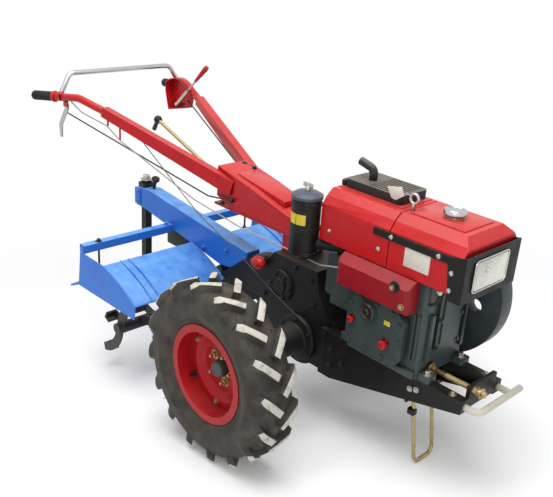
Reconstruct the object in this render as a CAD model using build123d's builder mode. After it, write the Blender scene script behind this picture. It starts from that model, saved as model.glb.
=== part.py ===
"""Two-wheeled walking tractor with a horizontal diesel engine and a rear rotary tiller.

The tractor is drawn level with its axle over the origin, +X forward, +Y left, +Z up,
and every piece is then tipped nose-down about the axle, the way it parks on its front stand.
All sizes are in millimetres and degrees.
"""

import os
from build123d import *

os.makedirs("parts", exist_ok=True)

# Stance
TYRE_RADIUS = 320.0
AXLE_Z = 320.0
TRACK = 940.0
NOSE_DOWN = 6.0
AXLE_X = 314.0
RUNNING_FIT = 0.08

# Tyres and wheels
TYRE_HALF = 82.5
LUG_HEIGHT = 26.0
LUG_COUNT = 16
LUG_LENGTH = 104.0
LUG_WIDTH = 25.0
LUG_ANGLE = 45.0
LUG_MID = 42.0
BEAD_RADIUS = 152.4
FLANGE_RADIUS = 174.0
RIM_HALF = 62.0
RIM_SHEET = 5.0
DISC_OFFSET = 20.0
DISC_SHEET = 6.0
HUB_RADIUS = 30.0
HUB_REACH = 12.0
HUB_SLEEVE = 50.0
HUB_SLEEVE_RADIUS = 44.0
HUB_FLANGE = 78.0
AXLE_RADIUS = 22.0
WHEEL_BOLT_CIRCLE = 104.0
WHEEL_BOLT_RADIUS = 6.5
WHEEL_BOLTS = 5

# Main frame
RAIL_TOP = 415.0
RAIL_OUTSIDE = 112.0
RAIL_WIDTH = 40.0
RAIL_SHEET = 6.0
RAIL_REAR = 140.0
RAIL_FRONT = 706.0
RAIL_NOSE_HEIGHT = 42.0
RAIL_HEEL_HEIGHT = 178.0
CROSS_PLATE = 14.0
CROSS_PLATE_TOP = 456.0
ROD_RADIUS = 8.0
ROD_Y = -53.0
ROD_Z = 440.0
ROD_NOSE = 734.0
BUMPER_X = 756.0
BUMPER_RADIUS = 11.0
BUMPER_LEG_Y = 92.0
BUMPER_OVERHANG = 146.0

# Front stand
STAND_X = 490.0
STAND_Z = 352.0
STAND_HALF = 51.0
STAND_ROD = 6.5
STAND_FOOT_X = 508.0
STAND_PIN = 7.0
STAND_EYE = 12.0
STAND_EYE_LENGTH = 18.0
STAND_STOP_GAP = 0.4

# Engine
ENGINE_REAR = 255.0
ENGINE_FRONT = 540.0
ENGINE_HALF = 121.0
ENGINE_TOP = 749.0
HEAD_REAR = 122.0
HEAD_HALF = 104.0
HEAD_BOTTOM = 520.0
HEAD_TOP = 700.0
CRANK_X = 402.0
CRANK_Z = 612.0
CRANK_RADIUS = 30.0
CRANK_DEPTH = 46.0
CRANK_BOSS = 64.0
DOOR_Y = 4.0
DOOR_WIDTH = 124.0
DOOR_BOTTOM = 500.0
DOOR_TOP = 716.0
DOOR_DEPTH = 11.0
DOOR_PANEL = 18.0
RIB_WIDTH = 14.0
RIB_DEPTH = 12.0
FOOT_Y = 92.0
FOOT_LENGTH = 48.0
FOOT_WIDTH = 42.0
FOOT_HEIGHT = 22.0
FLYWHEEL_RADIUS = 235.0
FLYWHEEL_INNER = 155.0
FLYWHEEL_OUTER = 217.0
FLYWHEEL_RIM = 44.0
FLYWHEEL_HOLE = 24.0
FLYWHEEL_HOLE_CIRCLE = 142.0
FLYWHEEL_HOLE_TURN = -7.0
GEAR_COVER_DEPTH = 30.0
BOSS_X = 354.0
BOSS_Z = 592.0
BOSS_RADIUS = 27.0
SIDE_COVER_DEPTH = 58.0
SIDE_COVER_REAR = 220.0
SIDE_COVER_FRONT = 506.0
SIDE_COVER_BOTTOM = 642.0

# Hood over the engine
HOOD_HALF = 140.0
HOOD_TOP = 922.0
HOOD_SHOULDER = 872.0
HOOD_CROWN_HALF = 94.0
HOOD_SHEET = 3.0
RADIATOR_REAR = 98.0
RADIATOR_FRONT = 382.0
HOOD_SEAM = 3.0
TANK_FRONT = 648.0
CAP_X = 509.0
CAP_RADIUS = 36.0
CAP_HEIGHT = 30.0
LAMP_SHEET = 4.0
LAMP_BOTTOM = 732.0
LAMP_TOP = 878.0
LAMP_FLANGE = 62.0
LAMP_ARM_REAR = 322.0
LAMP_ARM_BOTTOM = 842.0
LAMP_ARM_HEIGHT = 24.0
LAMP_Y = -12.0
LAMP_WIDTH = 180.0
LAMP_HEIGHT = 104.0
LAMP_Z = 810.0
LAMP_CORNER = 14.0
LAMP_DEPTH = 10.0

# Exhaust and intake
MUFFLER_REAR = 120.0
MUFFLER_FRONT = 350.0
MUFFLER_RIGHT = -62.0
MUFFLER_LEFT = 80.0
MUFFLER_HEIGHT = 32.0
MUFFLER_RIBS = 9
MUFFLER_RIB_LENGTH = 120.0
PIPE_X = 186.0
PIPE_RADIUS = 14.0
PIPE_RISE = 36.0
PIPE_REACH = 58.0
EYE_X = 394.0
EYE_Y = -52.0
EYE_RADIUS = 15.0
EYE_ROD = 4.5
EYE_STEM = 24.0
CLEANER_X = 40.0
CLEANER_Y = -150.0
CLEANER_RADIUS = 50.0
CLEANER_BOTTOM = 672.0
CLEANER_TOP = 880.0
LID_HEIGHT = 26.0
INTAKE_RADIUS = 20.0
INTAKE_X = 158.0
INTAKE_Z = 724.0

# Gearbox, axle and belt drive
BOX_HALF = 95.0
BOX_REAR = -215.0
BOX_TOP = 600.0
FINAL_RADIUS = 106.0
SHAFT_COVER_X = -105.0
SHAFT_COVER_Z = 486.0
SHAFT_COVER_RADIUS = 59.0
SHAFT_COVER_DEPTH = 11.0
AXLE_TUBE = 50.0
AXLE_GAP = 26.0
AXLE_FLANGE = 88.0
CLUTCH_X = -30.0
CLUTCH_Z = 545.0
CLUTCH_PULLEY = 105.0
CRANK_PULLEY = 72.0
PULLEY_SHAFT = 20.0
BELT_COUNT = 3
BELT_PITCH = 20.0
BELT_WIDTH = 14.0
BELT_DEPTH = 11.0
BELT_GAP = 0.5
GUARD_CLEAR = 14.0
GUARD_SHEET = 3.0
GUARD_WALL = 300.0
GUARD_STAY = 8.0

# Handlebars
BASE_HALF = 75.0
BASE_BOTTOM = 680.0
BASE_REAR = -520.0
BASE_FRONT = -97.0
BASE_SHEET = 3.0
MOUNT_HALF = 62.0
ARM_WIDTH = 34.0
ARM_DEEP = 60.0
ARM_SLIM = 40.0
ARM_SHEET = 4.0
ARM_END = 12.0
ARM_ROOT_X = -430.0
ARM_ROOT_Z = 762.0
ARM_TIP_X = -1058.0
ARM_TIP_Y = 247.0
ARM_TIP_Z = 949.0
BEND_X = -1193.0
BEND_Y = 288.0
BEND_Z = 983.0
GRIP_X = -1473.0
GRIP_Y = 348.0
GRIP_Z = 949.0
TUBE_RADIUS = 16.0
TUBE_BEND = 90.0
GRIP_RADIUS = 20.0
GRIP_LENGTH = 134.0
GRIP_CAP = 6.0
BAR_RADIUS = 11.0
BAR_FOOT_X = -1300.0
BAR_FOOT_Y = 316.0
BAR_FOOT_Z = 973.0
BAR_X = -1315.0
BAR_HALF = 258.0
BAR_Z = 1064.0
BAR_BEND = 34.0
LEVER_SHEET = 6.0
STEER_X = -1273.0
STEER_Y = 302.0
STEER_Z = 946.0
STEER_ROD = 3.0
ROD_EYE = 9.0
QUADRANT_BACK = 44.0
QUADRANT_DROP = 87.0
QUADRANT_RADIUS = 122.0
QUADRANT_FROM = 38.0
QUADRANT_SWEEP = 94.0
QUADRANT_FACE = 244.0
QUADRANT_DEPTH = 42.0
QUADRANT_SHEET = 3.0
QUADRANT_SLOT = 12.0
QUADRANT_LIP = 1.5
LEVER_TURN = 43.0
LEVER_ROD = 4.5
LEVER_LENGTH = 303.0
LEVER_GRIP = 112.0
THROTTLE_X = -1238.0
CABLE_RADIUS = 2.5
CLIP_WIDTH = 10.0
CLIP_SHEET = 3.0
GEAR_ROD = 7.0
GEAR_BALL = 17.0
GEAR_X = -1000.0
GEAR_Y = -20.0
GEAR_Z = 902.0

# Rotary tiller
ROTOR_X = -700.0
ROTOR_Z = 145.0
ROTOR_RADIUS = 195.0
ROTOR_SHAFT = 24.0
ROTOR_HALF = 430.0
BLADE_SHEET = 8.0
BLADE_WIDTH = 38.0
BLADE_TOE = 42.0
CASE_HALF = 35.0
CASE_HEAD_X = -300.0
CASE_HEAD_Z = 430.0
CASE_HEAD_RADIUS = 84.0
CASE_FOOT_RADIUS = 60.0
TILLER_HALF = 470.0
HOOD_PLATE = 4.0
HOOD_FRONT_X = -497.0
HOOD_FRONT_Z = 343.0
HOOD_REAR_X = -722.0
HOOD_RISE = 16.0
END_TOP = 432.0
END_REAR_X = -895.0
END_HEEL_X = -917.0
END_HEEL_Z = 274.0
END_TOE_X = -502.0
END_TOE_Z = 286.0
BAR_ANGLE = 34.0
BAR_SHEET = 5.0
BEAM_SHEET = 6.0
POST_X = -1118.0
POST_WIDTH = 34.0
POST_BOTTOM = 180.0
POST_TOP = 600.0

# The tip about the axle that puts the level tractor on its stand.
parked = Pos(AXLE_X, 0, TYRE_RADIUS) * Rot(0, NOSE_DOWN, 0) * Pos(0, 0, -AXLE_Z)

axle_line = Axis((0, 0, AXLE_Z), (0, 1, 0))
half_track = TRACK / 2
carcass_radius = TYRE_RADIUS - LUG_HEIGHT
axle_tube_end = half_track - DISC_OFFSET - DISC_SHEET - HUB_SLEEVE - AXLE_GAP
sides = (("right", -1), ("left", 1))


def toward(start, end):
    """The plane at one point that faces another, with its X axis level."""
    run = Vector(*end) - Vector(*start)
    level = Vector(0, 0, 1).cross(run)
    return Plane(origin=start, x_dir=level, z_dir=run)


# Wheels: lugged tyre, dished rim and the hub with its axle shaft, one set to a side.
for name, side in sides:
    across = Plane(origin=(0, side * half_track, AXLE_Z), x_dir=(0, 1, 0), z_dir=(1, 0, 0))

    lugs = []
    for row in (-1, 1):
        crown = Plane(origin=(0, side * half_track + row * LUG_MID, AXLE_Z))
        with BuildPart() as lug:
            with BuildSketch(crown.offset(carcass_radius - 12)):
                Rectangle(LUG_LENGTH, LUG_WIDTH, rotation=-row * LUG_ANGLE)
            extrude(amount=60)
            with BuildSketch(across):
                with BuildLine():
                    Polyline(
                        (-TYRE_HALF + 3, carcass_radius - 30),
                        (-TYRE_HALF + 3, TYRE_RADIUS - 20),
                        (-TYRE_HALF + 16, TYRE_RADIUS),
                        (TYRE_HALF - 16, TYRE_RADIUS),
                        (TYRE_HALF - 3, TYRE_RADIUS - 20),
                        (TYRE_HALF - 3, carcass_radius - 30),
                        close=True,
                    )
                make_face()
            revolve(axis=axle_line, mode=Mode.INTERSECT)
        step = 360 / LUG_COUNT
        for index in range(LUG_COUNT):
            lugs.append(lug.part.rotate(axle_line, (index + 0.25 * row) * step))

    with BuildPart() as tyre:
        with BuildSketch(across):
            with BuildLine():
                Line((-RIM_HALF + RIM_SHEET, BEAD_RADIUS), (RIM_HALF - RIM_SHEET, BEAD_RADIUS))
                Line((RIM_HALF - RIM_SHEET, BEAD_RADIUS), (RIM_HALF - RIM_SHEET, FLANGE_RADIUS + 2))
                ThreePointArc(
                    (RIM_HALF - RIM_SHEET, FLANGE_RADIUS + 2), (TYRE_HALF, 228), (TYRE_HALF - 12, 282)
                )
                Line((TYRE_HALF - 12, 282), (TYRE_HALF - 26, carcass_radius))
                Line((TYRE_HALF - 26, carcass_radius), (-TYRE_HALF + 26, carcass_radius))
                Line((-TYRE_HALF + 26, carcass_radius), (-TYRE_HALF + 12, 282))
                ThreePointArc(
                    (-TYRE_HALF + 12, 282), (-TYRE_HALF, 228), (-RIM_HALF + RIM_SHEET, FLANGE_RADIUS + 2)
                )
                Line((-RIM_HALF + RIM_SHEET, FLANGE_RADIUS + 2), (-RIM_HALF + RIM_SHEET, BEAD_RADIUS))
            make_face()
        revolve(axis=axle_line)
        add(lugs)
    tyre.part.label = f"tyre_{name}"
    export_step(parked * tyre.part, f"parts/tyre_{name}.step")

    # The disc is dished inboard, so the hub sits deep in the rim.
    disc = side * -DISC_OFFSET
    with BuildPart() as rim:
        with BuildSketch(across):
            with BuildLine():
                Polyline(
                    (-RIM_HALF, FLANGE_RADIUS),
                    (-RIM_HALF + RIM_SHEET, FLANGE_RADIUS),
                    (-RIM_HALF + RIM_SHEET, BEAD_RADIUS),
                    (RIM_HALF - RIM_SHEET, BEAD_RADIUS),
                    (RIM_HALF - RIM_SHEET, FLANGE_RADIUS),
                    (RIM_HALF, FLANGE_RADIUS),
                    (RIM_HALF, BEAD_RADIUS - RIM_SHEET),
                    (-RIM_HALF, BEAD_RADIUS - RIM_SHEET),
                    close=True,
                )
            make_face()
            with BuildLine():
                Polyline(
                    (disc, HUB_RADIUS),
                    (disc, 92),
                    (disc + side * 22, 118),
                    (disc + side * 22, BEAD_RADIUS - RIM_SHEET / 2),
                    (disc + side * (22 - DISC_SHEET), BEAD_RADIUS - RIM_SHEET / 2),
                    (disc + side * (22 - DISC_SHEET), 121),
                    (disc - side * DISC_SHEET, 95),
                    (disc - side * DISC_SHEET, HUB_RADIUS),
                    close=True,
                )
            make_face()
        revolve(axis=axle_line)
        with BuildSketch(Plane(origin=(0, side * half_track, AXLE_Z), x_dir=(1, 0, 0), z_dir=(0, 1, 0))):
            with PolarLocations(WHEEL_BOLT_CIRCLE / 2, WHEEL_BOLTS):
                Circle(WHEEL_BOLT_RADIUS)
        extrude(amount=RIM_HALF, both=True, mode=Mode.SUBTRACT)
    rim.part.label = f"rim_{name}"
    export_step(parked * rim.part, f"parts/rim_{name}.step")

    back = disc - side * DISC_SHEET
    shaft_end = -side * (half_track - axle_tube_end + 60)
    with BuildPart() as hub:
        with BuildSketch(across):
            with BuildLine():
                Polyline(
                    (side * HUB_REACH, 0),
                    (side * HUB_REACH, HUB_RADIUS - 5),
                    (side * (HUB_REACH - 5), HUB_RADIUS),
                    (back, HUB_RADIUS),
                    (back, HUB_FLANGE),
                    (back - side * 12, HUB_FLANGE),
                    (back - side * 16, HUB_SLEEVE_RADIUS),
                    (back - side * HUB_SLEEVE, HUB_SLEEVE_RADIUS),
                    (back - side * HUB_SLEEVE, AXLE_RADIUS),
                    (shaft_end, AXLE_RADIUS),
                    (shaft_end, 0),
                    close=True,
                )
            make_face()
        revolve(axis=axle_line)
    hub.part.label = f"hub_{name}"
    export_step(parked * hub.part, f"parts/hub_{name}.step")

    # The axle housing carries the shaft out from the gearbox to the wheel.
    with BuildPart() as housing:
        with BuildSketch(Plane(origin=(0, 0, AXLE_Z), x_dir=(0, 1, 0), z_dir=(1, 0, 0))):
            with BuildLine():
                Polyline(
                    (side * BOX_HALF, AXLE_RADIUS + RUNNING_FIT),
                    (side * BOX_HALF, AXLE_FLANGE),
                    (side * (BOX_HALF + 16), AXLE_FLANGE),
                    (side * (BOX_HALF + 26), AXLE_TUBE + 8),
                    (side * (axle_tube_end - 30), AXLE_TUBE),
                    (side * (axle_tube_end - 30), AXLE_TUBE + 10),
                    (side * axle_tube_end, AXLE_TUBE + 10),
                    (side * axle_tube_end, AXLE_RADIUS + RUNNING_FIT),
                    close=True,
                )
            make_face()
        revolve(axis=axle_line)
    housing.part.label = f"axle_housing_{name}"
    export_step(parked * housing.part, f"parts/axle_housing_{name}.step")


# Main frame: two channel rails that taper to the nose, a cross plate and the stand's pin and stop.
rail_outline = (
    (RAIL_REAR, RAIL_TOP),
    (RAIL_FRONT, RAIL_TOP),
    (RAIL_FRONT, RAIL_TOP - RAIL_NOSE_HEIGHT),
    (RAIL_REAR + 40, RAIL_TOP - RAIL_HEEL_HEIGHT),
    (RAIL_REAR, RAIL_TOP - RAIL_HEEL_HEIGHT),
)
foot = (parked.inverse() * Pos(AXLE_X + STAND_FOOT_X, 0, STAND_ROD)).position
stand_lean = Vector(foot.X - STAND_X, 0, foot.Z - STAND_Z).normalized()
stop_drop = 30.0
stop_reach = (stand_lean.X * (stop_drop + 10) + STAND_ROD) / -stand_lean.Z
stop_x = STAND_X + stop_reach + STAND_STOP_GAP

with BuildPart() as frame:
    with BuildSketch(Plane.XZ.offset(RAIL_OUTSIDE - RAIL_WIDTH)):
        with BuildLine():
            Polyline(*rail_outline, close=True)
        make_face()
    extrude(amount=RAIL_WIDTH)
    with BuildSketch(Plane.XZ.offset(RAIL_OUTSIDE - RAIL_WIDTH)):
        with BuildLine():
            Polyline(*rail_outline, close=True)
        make_face()
        offset(amount=-RAIL_SHEET, kind=Kind.INTERSECTION, mode=Mode.REPLACE)
    extrude(amount=RAIL_WIDTH - RAIL_SHEET, mode=Mode.SUBTRACT)
    mirror(about=Plane.XZ)
    with BuildSketch(Plane.YZ.offset(RAIL_FRONT - CROSS_PLATE)):
        with Locations((0, (CROSS_PLATE_TOP + RAIL_TOP - RAIL_NOSE_HEIGHT + 8) / 2)):
            plate_height = CROSS_PLATE_TOP - RAIL_TOP + RAIL_NOSE_HEIGHT - 8
            Rectangle(2 * (RAIL_OUTSIDE - RAIL_WIDTH + 1), plate_height)
        with Locations((ROD_Y, ROD_Z)):
            Circle(ROD_RADIUS + 0.5, mode=Mode.SUBTRACT)
    extrude(amount=CROSS_PLATE)
    with BuildSketch(Plane.XZ.offset(-RAIL_OUTSIDE + RAIL_SHEET / 2)):
        with Locations((STAND_X, STAND_Z)):
            Circle(STAND_PIN)
    extrude(amount=2 * RAIL_OUTSIDE - RAIL_SHEET)
    with BuildSketch(Plane.XY.offset(STAND_Z - stop_drop - 10)):
        with Locations((stop_x + 4, 0)):
            Rectangle(8, 2 * RAIL_OUTSIDE - RAIL_SHEET)
    extrude(amount=20)
frame.part.label = "main_frame"
export_step(parked * frame.part, "parts/main_frame.step")

# Belt-tension rod, its nut bearing on the cross plate and its tail on the engine.
with BuildPart() as tension:
    with BuildSketch(Plane.YZ.offset(ENGINE_FRONT)):
        with Locations((ROD_Y, ROD_Z)):
            Circle(ROD_RADIUS)
    extrude(amount=ROD_NOSE - ENGINE_FRONT)
    with BuildSketch(Plane.YZ.offset(RAIL_FRONT)):
        with Locations((ROD_Y, ROD_Z)):
            RegularPolygon(15, 6)
    extrude(amount=14)
tension.part.label = "tension_rod"
export_step(parked * tension.part, "parts/tension_rod.step")

# Bumper: one bent tube off the right rail, propped by a leg off the left one.
bumper_z = RAIL_TOP - RAIL_NOSE_HEIGHT / 2
with BuildPart() as bumper:
    with BuildLine() as bumper_run:
        FilletPolyline(
            (RAIL_FRONT, -BUMPER_LEG_Y, bumper_z),
            (BUMPER_X, -BUMPER_LEG_Y, bumper_z),
            (BUMPER_X, BUMPER_OVERHANG, bumper_z),
            radius=24,
        )
    with BuildSketch(Plane.YZ.offset(RAIL_FRONT)):
        with Locations((-BUMPER_LEG_Y, bumper_z)):
            Circle(BUMPER_RADIUS)
    sweep(path=bumper_run.line)
    with BuildSketch(Plane.YZ.offset(RAIL_FRONT)):
        with Locations((BUMPER_LEG_Y, bumper_z)):
            Circle(BUMPER_RADIUS)
    extrude(amount=BUMPER_X - RAIL_FRONT)
bumper.part.label = "front_bumper"
export_step(parked * bumper.part, "parts/front_bumper.step")

# Front stand: a bent rod on the frame's pin, its feet ahead of the pin so that the load holds it there.
with BuildPart() as stand:
    with BuildLine() as stand_run:
        FilletPolyline(
            (STAND_X, -STAND_HALF, STAND_Z),
            (foot.X, -STAND_HALF, foot.Z),
            (foot.X, STAND_HALF, foot.Z),
            (STAND_X, STAND_HALF, STAND_Z),
            radius=28,
        )
    with BuildSketch(toward((STAND_X, -STAND_HALF, STAND_Z), (foot.X, -STAND_HALF, foot.Z))):
        Circle(STAND_ROD)
    sweep(path=stand_run.line)
    for leg in (-STAND_HALF, STAND_HALF):
        with BuildSketch(Plane.XZ.offset(-leg - STAND_EYE_LENGTH / 2)):
            with Locations((STAND_X, STAND_Z)):
                Circle(STAND_EYE)
        extrude(amount=STAND_EYE_LENGTH)
    with BuildSketch(Plane.XZ.offset(-2 * STAND_HALF)):
        with Locations((STAND_X, STAND_Z)):
            Circle(STAND_PIN + RUNNING_FIT)
    extrude(amount=4 * STAND_HALF, mode=Mode.SUBTRACT)
stand.part.label = "front_stand"
export_step(parked * stand.part, "parts/front_stand.step")

# Engine block: crankcase on its four feet, crank boss on its left side, door and ribs on the front wall.
with BuildPart() as block:
    with BuildSketch(Plane.XY.offset(RAIL_TOP)):
        with Locations(((ENGINE_REAR + ENGINE_FRONT) / 2, 0)):
            RectangleRounded(ENGINE_FRONT - ENGINE_REAR, 2 * ENGINE_HALF, 16)
    extrude(amount=ENGINE_TOP - RAIL_TOP)
    with BuildSketch(Plane.XZ.offset(-ENGINE_HALF)):
        with Locations((CRANK_X, CRANK_Z)):
            Circle(CRANK_BOSS)
    extrude(amount=-20)
    with BuildSketch(Plane.XZ.offset(-ENGINE_HALF - 20)):
        with Locations((CRANK_X, CRANK_Z)):
            Circle(CRANK_RADIUS + RUNNING_FIT)
    extrude(amount=CRANK_DEPTH, mode=Mode.SUBTRACT)
    with BuildSketch(Plane.XY.offset(RAIL_TOP + 60)):
        with Locations(*[(ENGINE_FRONT + RIB_DEPTH / 2 - 2, DOOR_Y + side * 90) for side in (-1, 1)]):
            Rectangle(RIB_DEPTH + 4, RIB_WIDTH)
        with Locations(*[(ENGINE_FRONT - back, -ENGINE_HALF) for back in (16, 32)]):
            Rectangle(RIB_WIDTH / 2, RIB_DEPTH)
    extrude(amount=SIDE_COVER_BOTTOM - RAIL_TOP - 66)
    door = Plane(
        origin=(ENGINE_FRONT, DOOR_Y, (DOOR_BOTTOM + DOOR_TOP) / 2), x_dir=(0, 1, 0), z_dir=(1, 0, 0)
    )
    with BuildSketch(door):
        RectangleRounded(DOOR_WIDTH, DOOR_TOP - DOOR_BOTTOM, 12)
    extrude(amount=DOOR_DEPTH)
    with BuildSketch(door.offset(DOOR_DEPTH)):
        RectangleRounded(DOOR_WIDTH - 2 * DOOR_PANEL, DOOR_TOP - DOOR_BOTTOM - 2 * DOOR_PANEL, 10)
    extrude(amount=5)
    with BuildSketch(Plane.XY.offset(RAIL_TOP)):
        for x in (ENGINE_REAR - FOOT_LENGTH / 2 + 4, ENGINE_FRONT + FOOT_LENGTH / 2 - 4):
            with Locations((x, -FOOT_Y), (x, FOOT_Y)):
                RectangleRounded(FOOT_LENGTH, FOOT_WIDTH, 8)
    extrude(amount=FOOT_HEIGHT)
block.part.label = "engine_block"
export_step(parked * block.part, "parts/engine_block.step")

# Cylinder head with its rocker cover, facing the gearbox.
with BuildPart() as head:
    with BuildSketch(Plane.XY.offset(HEAD_BOTTOM)):
        with Locations(((HEAD_REAR + ENGINE_REAR) / 2 + 10, 0)):
            Rectangle(ENGINE_REAR - HEAD_REAR - 20, 2 * HEAD_HALF)
    extrude(amount=HEAD_TOP - HEAD_BOTTOM)
    with BuildSketch(Plane.YZ.offset(HEAD_REAR + 20)):
        with Locations((0, (HEAD_BOTTOM + HEAD_TOP) / 2)):
            RectangleRounded(1.7 * HEAD_HALF, HEAD_TOP - HEAD_BOTTOM - 16, 22)
    extrude(amount=-40)
head.part.label = "cylinder_head"
export_step(parked * head.part, "parts/cylinder_head.step")

# Timing-gear cover on the right side, with the starting-shaft boss.
with BuildPart() as gear_cover:
    with BuildSketch(Plane.XZ.offset(ENGINE_HALF)):
        with BuildLine():
            Polyline(
                (268, 440),
                (470, 440),
                (490, 470),
                (490, 600),
                (452, SIDE_COVER_BOTTOM - 6),
                (290, SIDE_COVER_BOTTOM - 6),
                (262, 590),
                (262, 470),
                close=True,
            )
        make_face()
        fillet(vertices(), radius=18)
    extrude(amount=GEAR_COVER_DEPTH)
    with BuildSketch(Plane.XZ.offset(ENGINE_HALF + GEAR_COVER_DEPTH)):
        with Locations((BOSS_X, BOSS_Z)):
            Circle(BOSS_RADIUS)
    extrude(amount=18)
    with BuildSketch(Plane.XZ.offset(ENGINE_HALF + GEAR_COVER_DEPTH + 18)):
        with Locations((BOSS_X, BOSS_Z)):
            Circle(BOSS_RADIUS - 10)
    extrude(amount=-14, mode=Mode.SUBTRACT)
gear_cover.part.label = "gear_cover"
export_step(parked * gear_cover.part, "parts/gear_cover.step")

# Red box cover over the injection pump, bevelled along its top.
cover_face = ENGINE_HALF + SIDE_COVER_DEPTH
with BuildPart() as side_cover:
    with BuildSketch(Plane.YZ.offset(SIDE_COVER_REAR)):
        with BuildLine():
            Polyline(
                (-ENGINE_HALF, SIDE_COVER_BOTTOM),
                (-cover_face + 8, SIDE_COVER_BOTTOM),
                (-cover_face, SIDE_COVER_BOTTOM + 8),
                (-cover_face, ENGINE_TOP - 26),
                (-ENGINE_HALF - 24, ENGINE_TOP - 1),
                (-ENGINE_HALF, ENGINE_TOP - 1),
                close=True,
            )
        make_face()
    extrude(amount=SIDE_COVER_FRONT - SIDE_COVER_REAR)
    fillet(side_cover.edges().filter_by(Axis.Z).group_by(Axis.Y)[0], radius=14)
side_cover.part.label = "side_cover"
export_step(parked * side_cover.part, "parts/side_cover.step")

# Hood halves: the radiator housing behind and the fuel tank in front, with the same section.
hood_section = (
    (-HOOD_HALF, ENGINE_TOP),
    (-HOOD_HALF, HOOD_SHOULDER),
    (-HOOD_CROWN_HALF - 26, HOOD_TOP - 22),
    (-HOOD_CROWN_HALF, HOOD_TOP),
    (HOOD_CROWN_HALF, HOOD_TOP),
    (HOOD_CROWN_HALF + 26, HOOD_TOP - 22),
    (HOOD_HALF, HOOD_SHOULDER),
    (HOOD_HALF, ENGINE_TOP),
)
with BuildPart() as radiator:
    with BuildSketch(Plane.YZ.offset(RADIATOR_REAR)):
        with BuildLine():
            Polyline(*hood_section, close=True)
        make_face()
    extrude(amount=RADIATOR_FRONT - RADIATOR_REAR)
    offset(amount=-HOOD_SHEET, openings=radiator.faces().sort_by(Axis.Z)[0], kind=Kind.INTERSECTION)
radiator.part.label = "radiator_housing"
export_step(parked * radiator.part, "parts/radiator_housing.step")

with BuildPart() as tank:
    with BuildSketch(Plane.YZ.offset(RADIATOR_FRONT + HOOD_SEAM)):
        with BuildLine():
            Polyline(*hood_section, close=True)
        make_face()
    extrude(amount=TANK_FRONT - RADIATOR_FRONT - HOOD_SEAM)
    chamfer(tank.faces().sort_by(Axis.X)[-1].edges().sort_by(Axis.Z)[-1], length=28)
    offset(amount=-HOOD_SHEET, openings=tank.faces().sort_by(Axis.Z)[0], kind=Kind.INTERSECTION)
tank.part.label = "fuel_tank"
export_step(parked * tank.part, "parts/fuel_tank.step")

with BuildPart() as cap:
    with BuildSketch(Plane.XY.offset(HOOD_TOP)):
        with Locations((CAP_X, 0)):
            Circle(CAP_RADIUS)
    extrude(amount=CAP_HEIGHT)
    fillet(cap.edges().sort_by(Axis.Z)[-1], radius=6)
cap.part.label = "fuel_cap"
export_step(parked * cap.part, "parts/fuel_cap.step")

# Lamp frame: a sheet face ahead of the tank, its flanges and two arms strapped along the hood's sides.
lamp_face = TANK_FRONT + 14
with BuildPart() as lamp_frame:
    with BuildSketch(Plane.YZ.offset(lamp_face - LAMP_SHEET)):
        with Locations((0, (LAMP_BOTTOM + LAMP_TOP) / 2)):
            Rectangle(2 * (HOOD_HALF + LAMP_SHEET), LAMP_TOP - LAMP_BOTTOM)
        with Locations((LAMP_Y, LAMP_Z)):
            RectangleRounded(LAMP_WIDTH, LAMP_HEIGHT, LAMP_CORNER, mode=Mode.SUBTRACT)
    extrude(amount=LAMP_SHEET)
    with BuildSketch(Plane.XZ.offset(HOOD_HALF)):
        with BuildLine():
            Polyline(
                (lamp_face, LAMP_BOTTOM),
                (lamp_face, LAMP_TOP),
                (lamp_face - LAMP_FLANGE, LAMP_ARM_BOTTOM + LAMP_ARM_HEIGHT),
                (LAMP_ARM_REAR, LAMP_ARM_BOTTOM + LAMP_ARM_HEIGHT),
                (LAMP_ARM_REAR, LAMP_ARM_BOTTOM),
                (lamp_face - LAMP_FLANGE, LAMP_ARM_BOTTOM),
                (lamp_face - LAMP_FLANGE + 16, LAMP_BOTTOM),
                close=True,
            )
        make_face()
    extrude(amount=LAMP_SHEET)
    with BuildSketch(Plane.XZ.offset(-HOOD_HALF)):
        with BuildLine():
            Polyline(
                (lamp_face, LAMP_BOTTOM),
                (lamp_face, LAMP_TOP),
                (lamp_face - LAMP_FLANGE, LAMP_ARM_BOTTOM + LAMP_ARM_HEIGHT),
                (LAMP_ARM_REAR, LAMP_ARM_BOTTOM + LAMP_ARM_HEIGHT),
                (LAMP_ARM_REAR, LAMP_ARM_BOTTOM),
                (lamp_face - LAMP_FLANGE, LAMP_ARM_BOTTOM),
                (lamp_face - LAMP_FLANGE + 16, LAMP_BOTTOM),
                close=True,
            )
        make_face()
    extrude(amount=-LAMP_SHEET)
lamp_frame.part.label = "lamp_frame"
export_step(parked * lamp_frame.part, "parts/lamp_frame.step")

with BuildPart() as headlight:
    with BuildSketch(Plane.YZ.offset(lamp_face - LAMP_DEPTH)):
        with Locations((LAMP_Y, LAMP_Z)):
            RectangleRounded(LAMP_WIDTH, LAMP_HEIGHT, LAMP_CORNER)
    extrude(amount=LAMP_DEPTH + 4)
headlight.part.label = "headlight"
export_step(parked * headlight.part, "parts/headlight.step")

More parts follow.
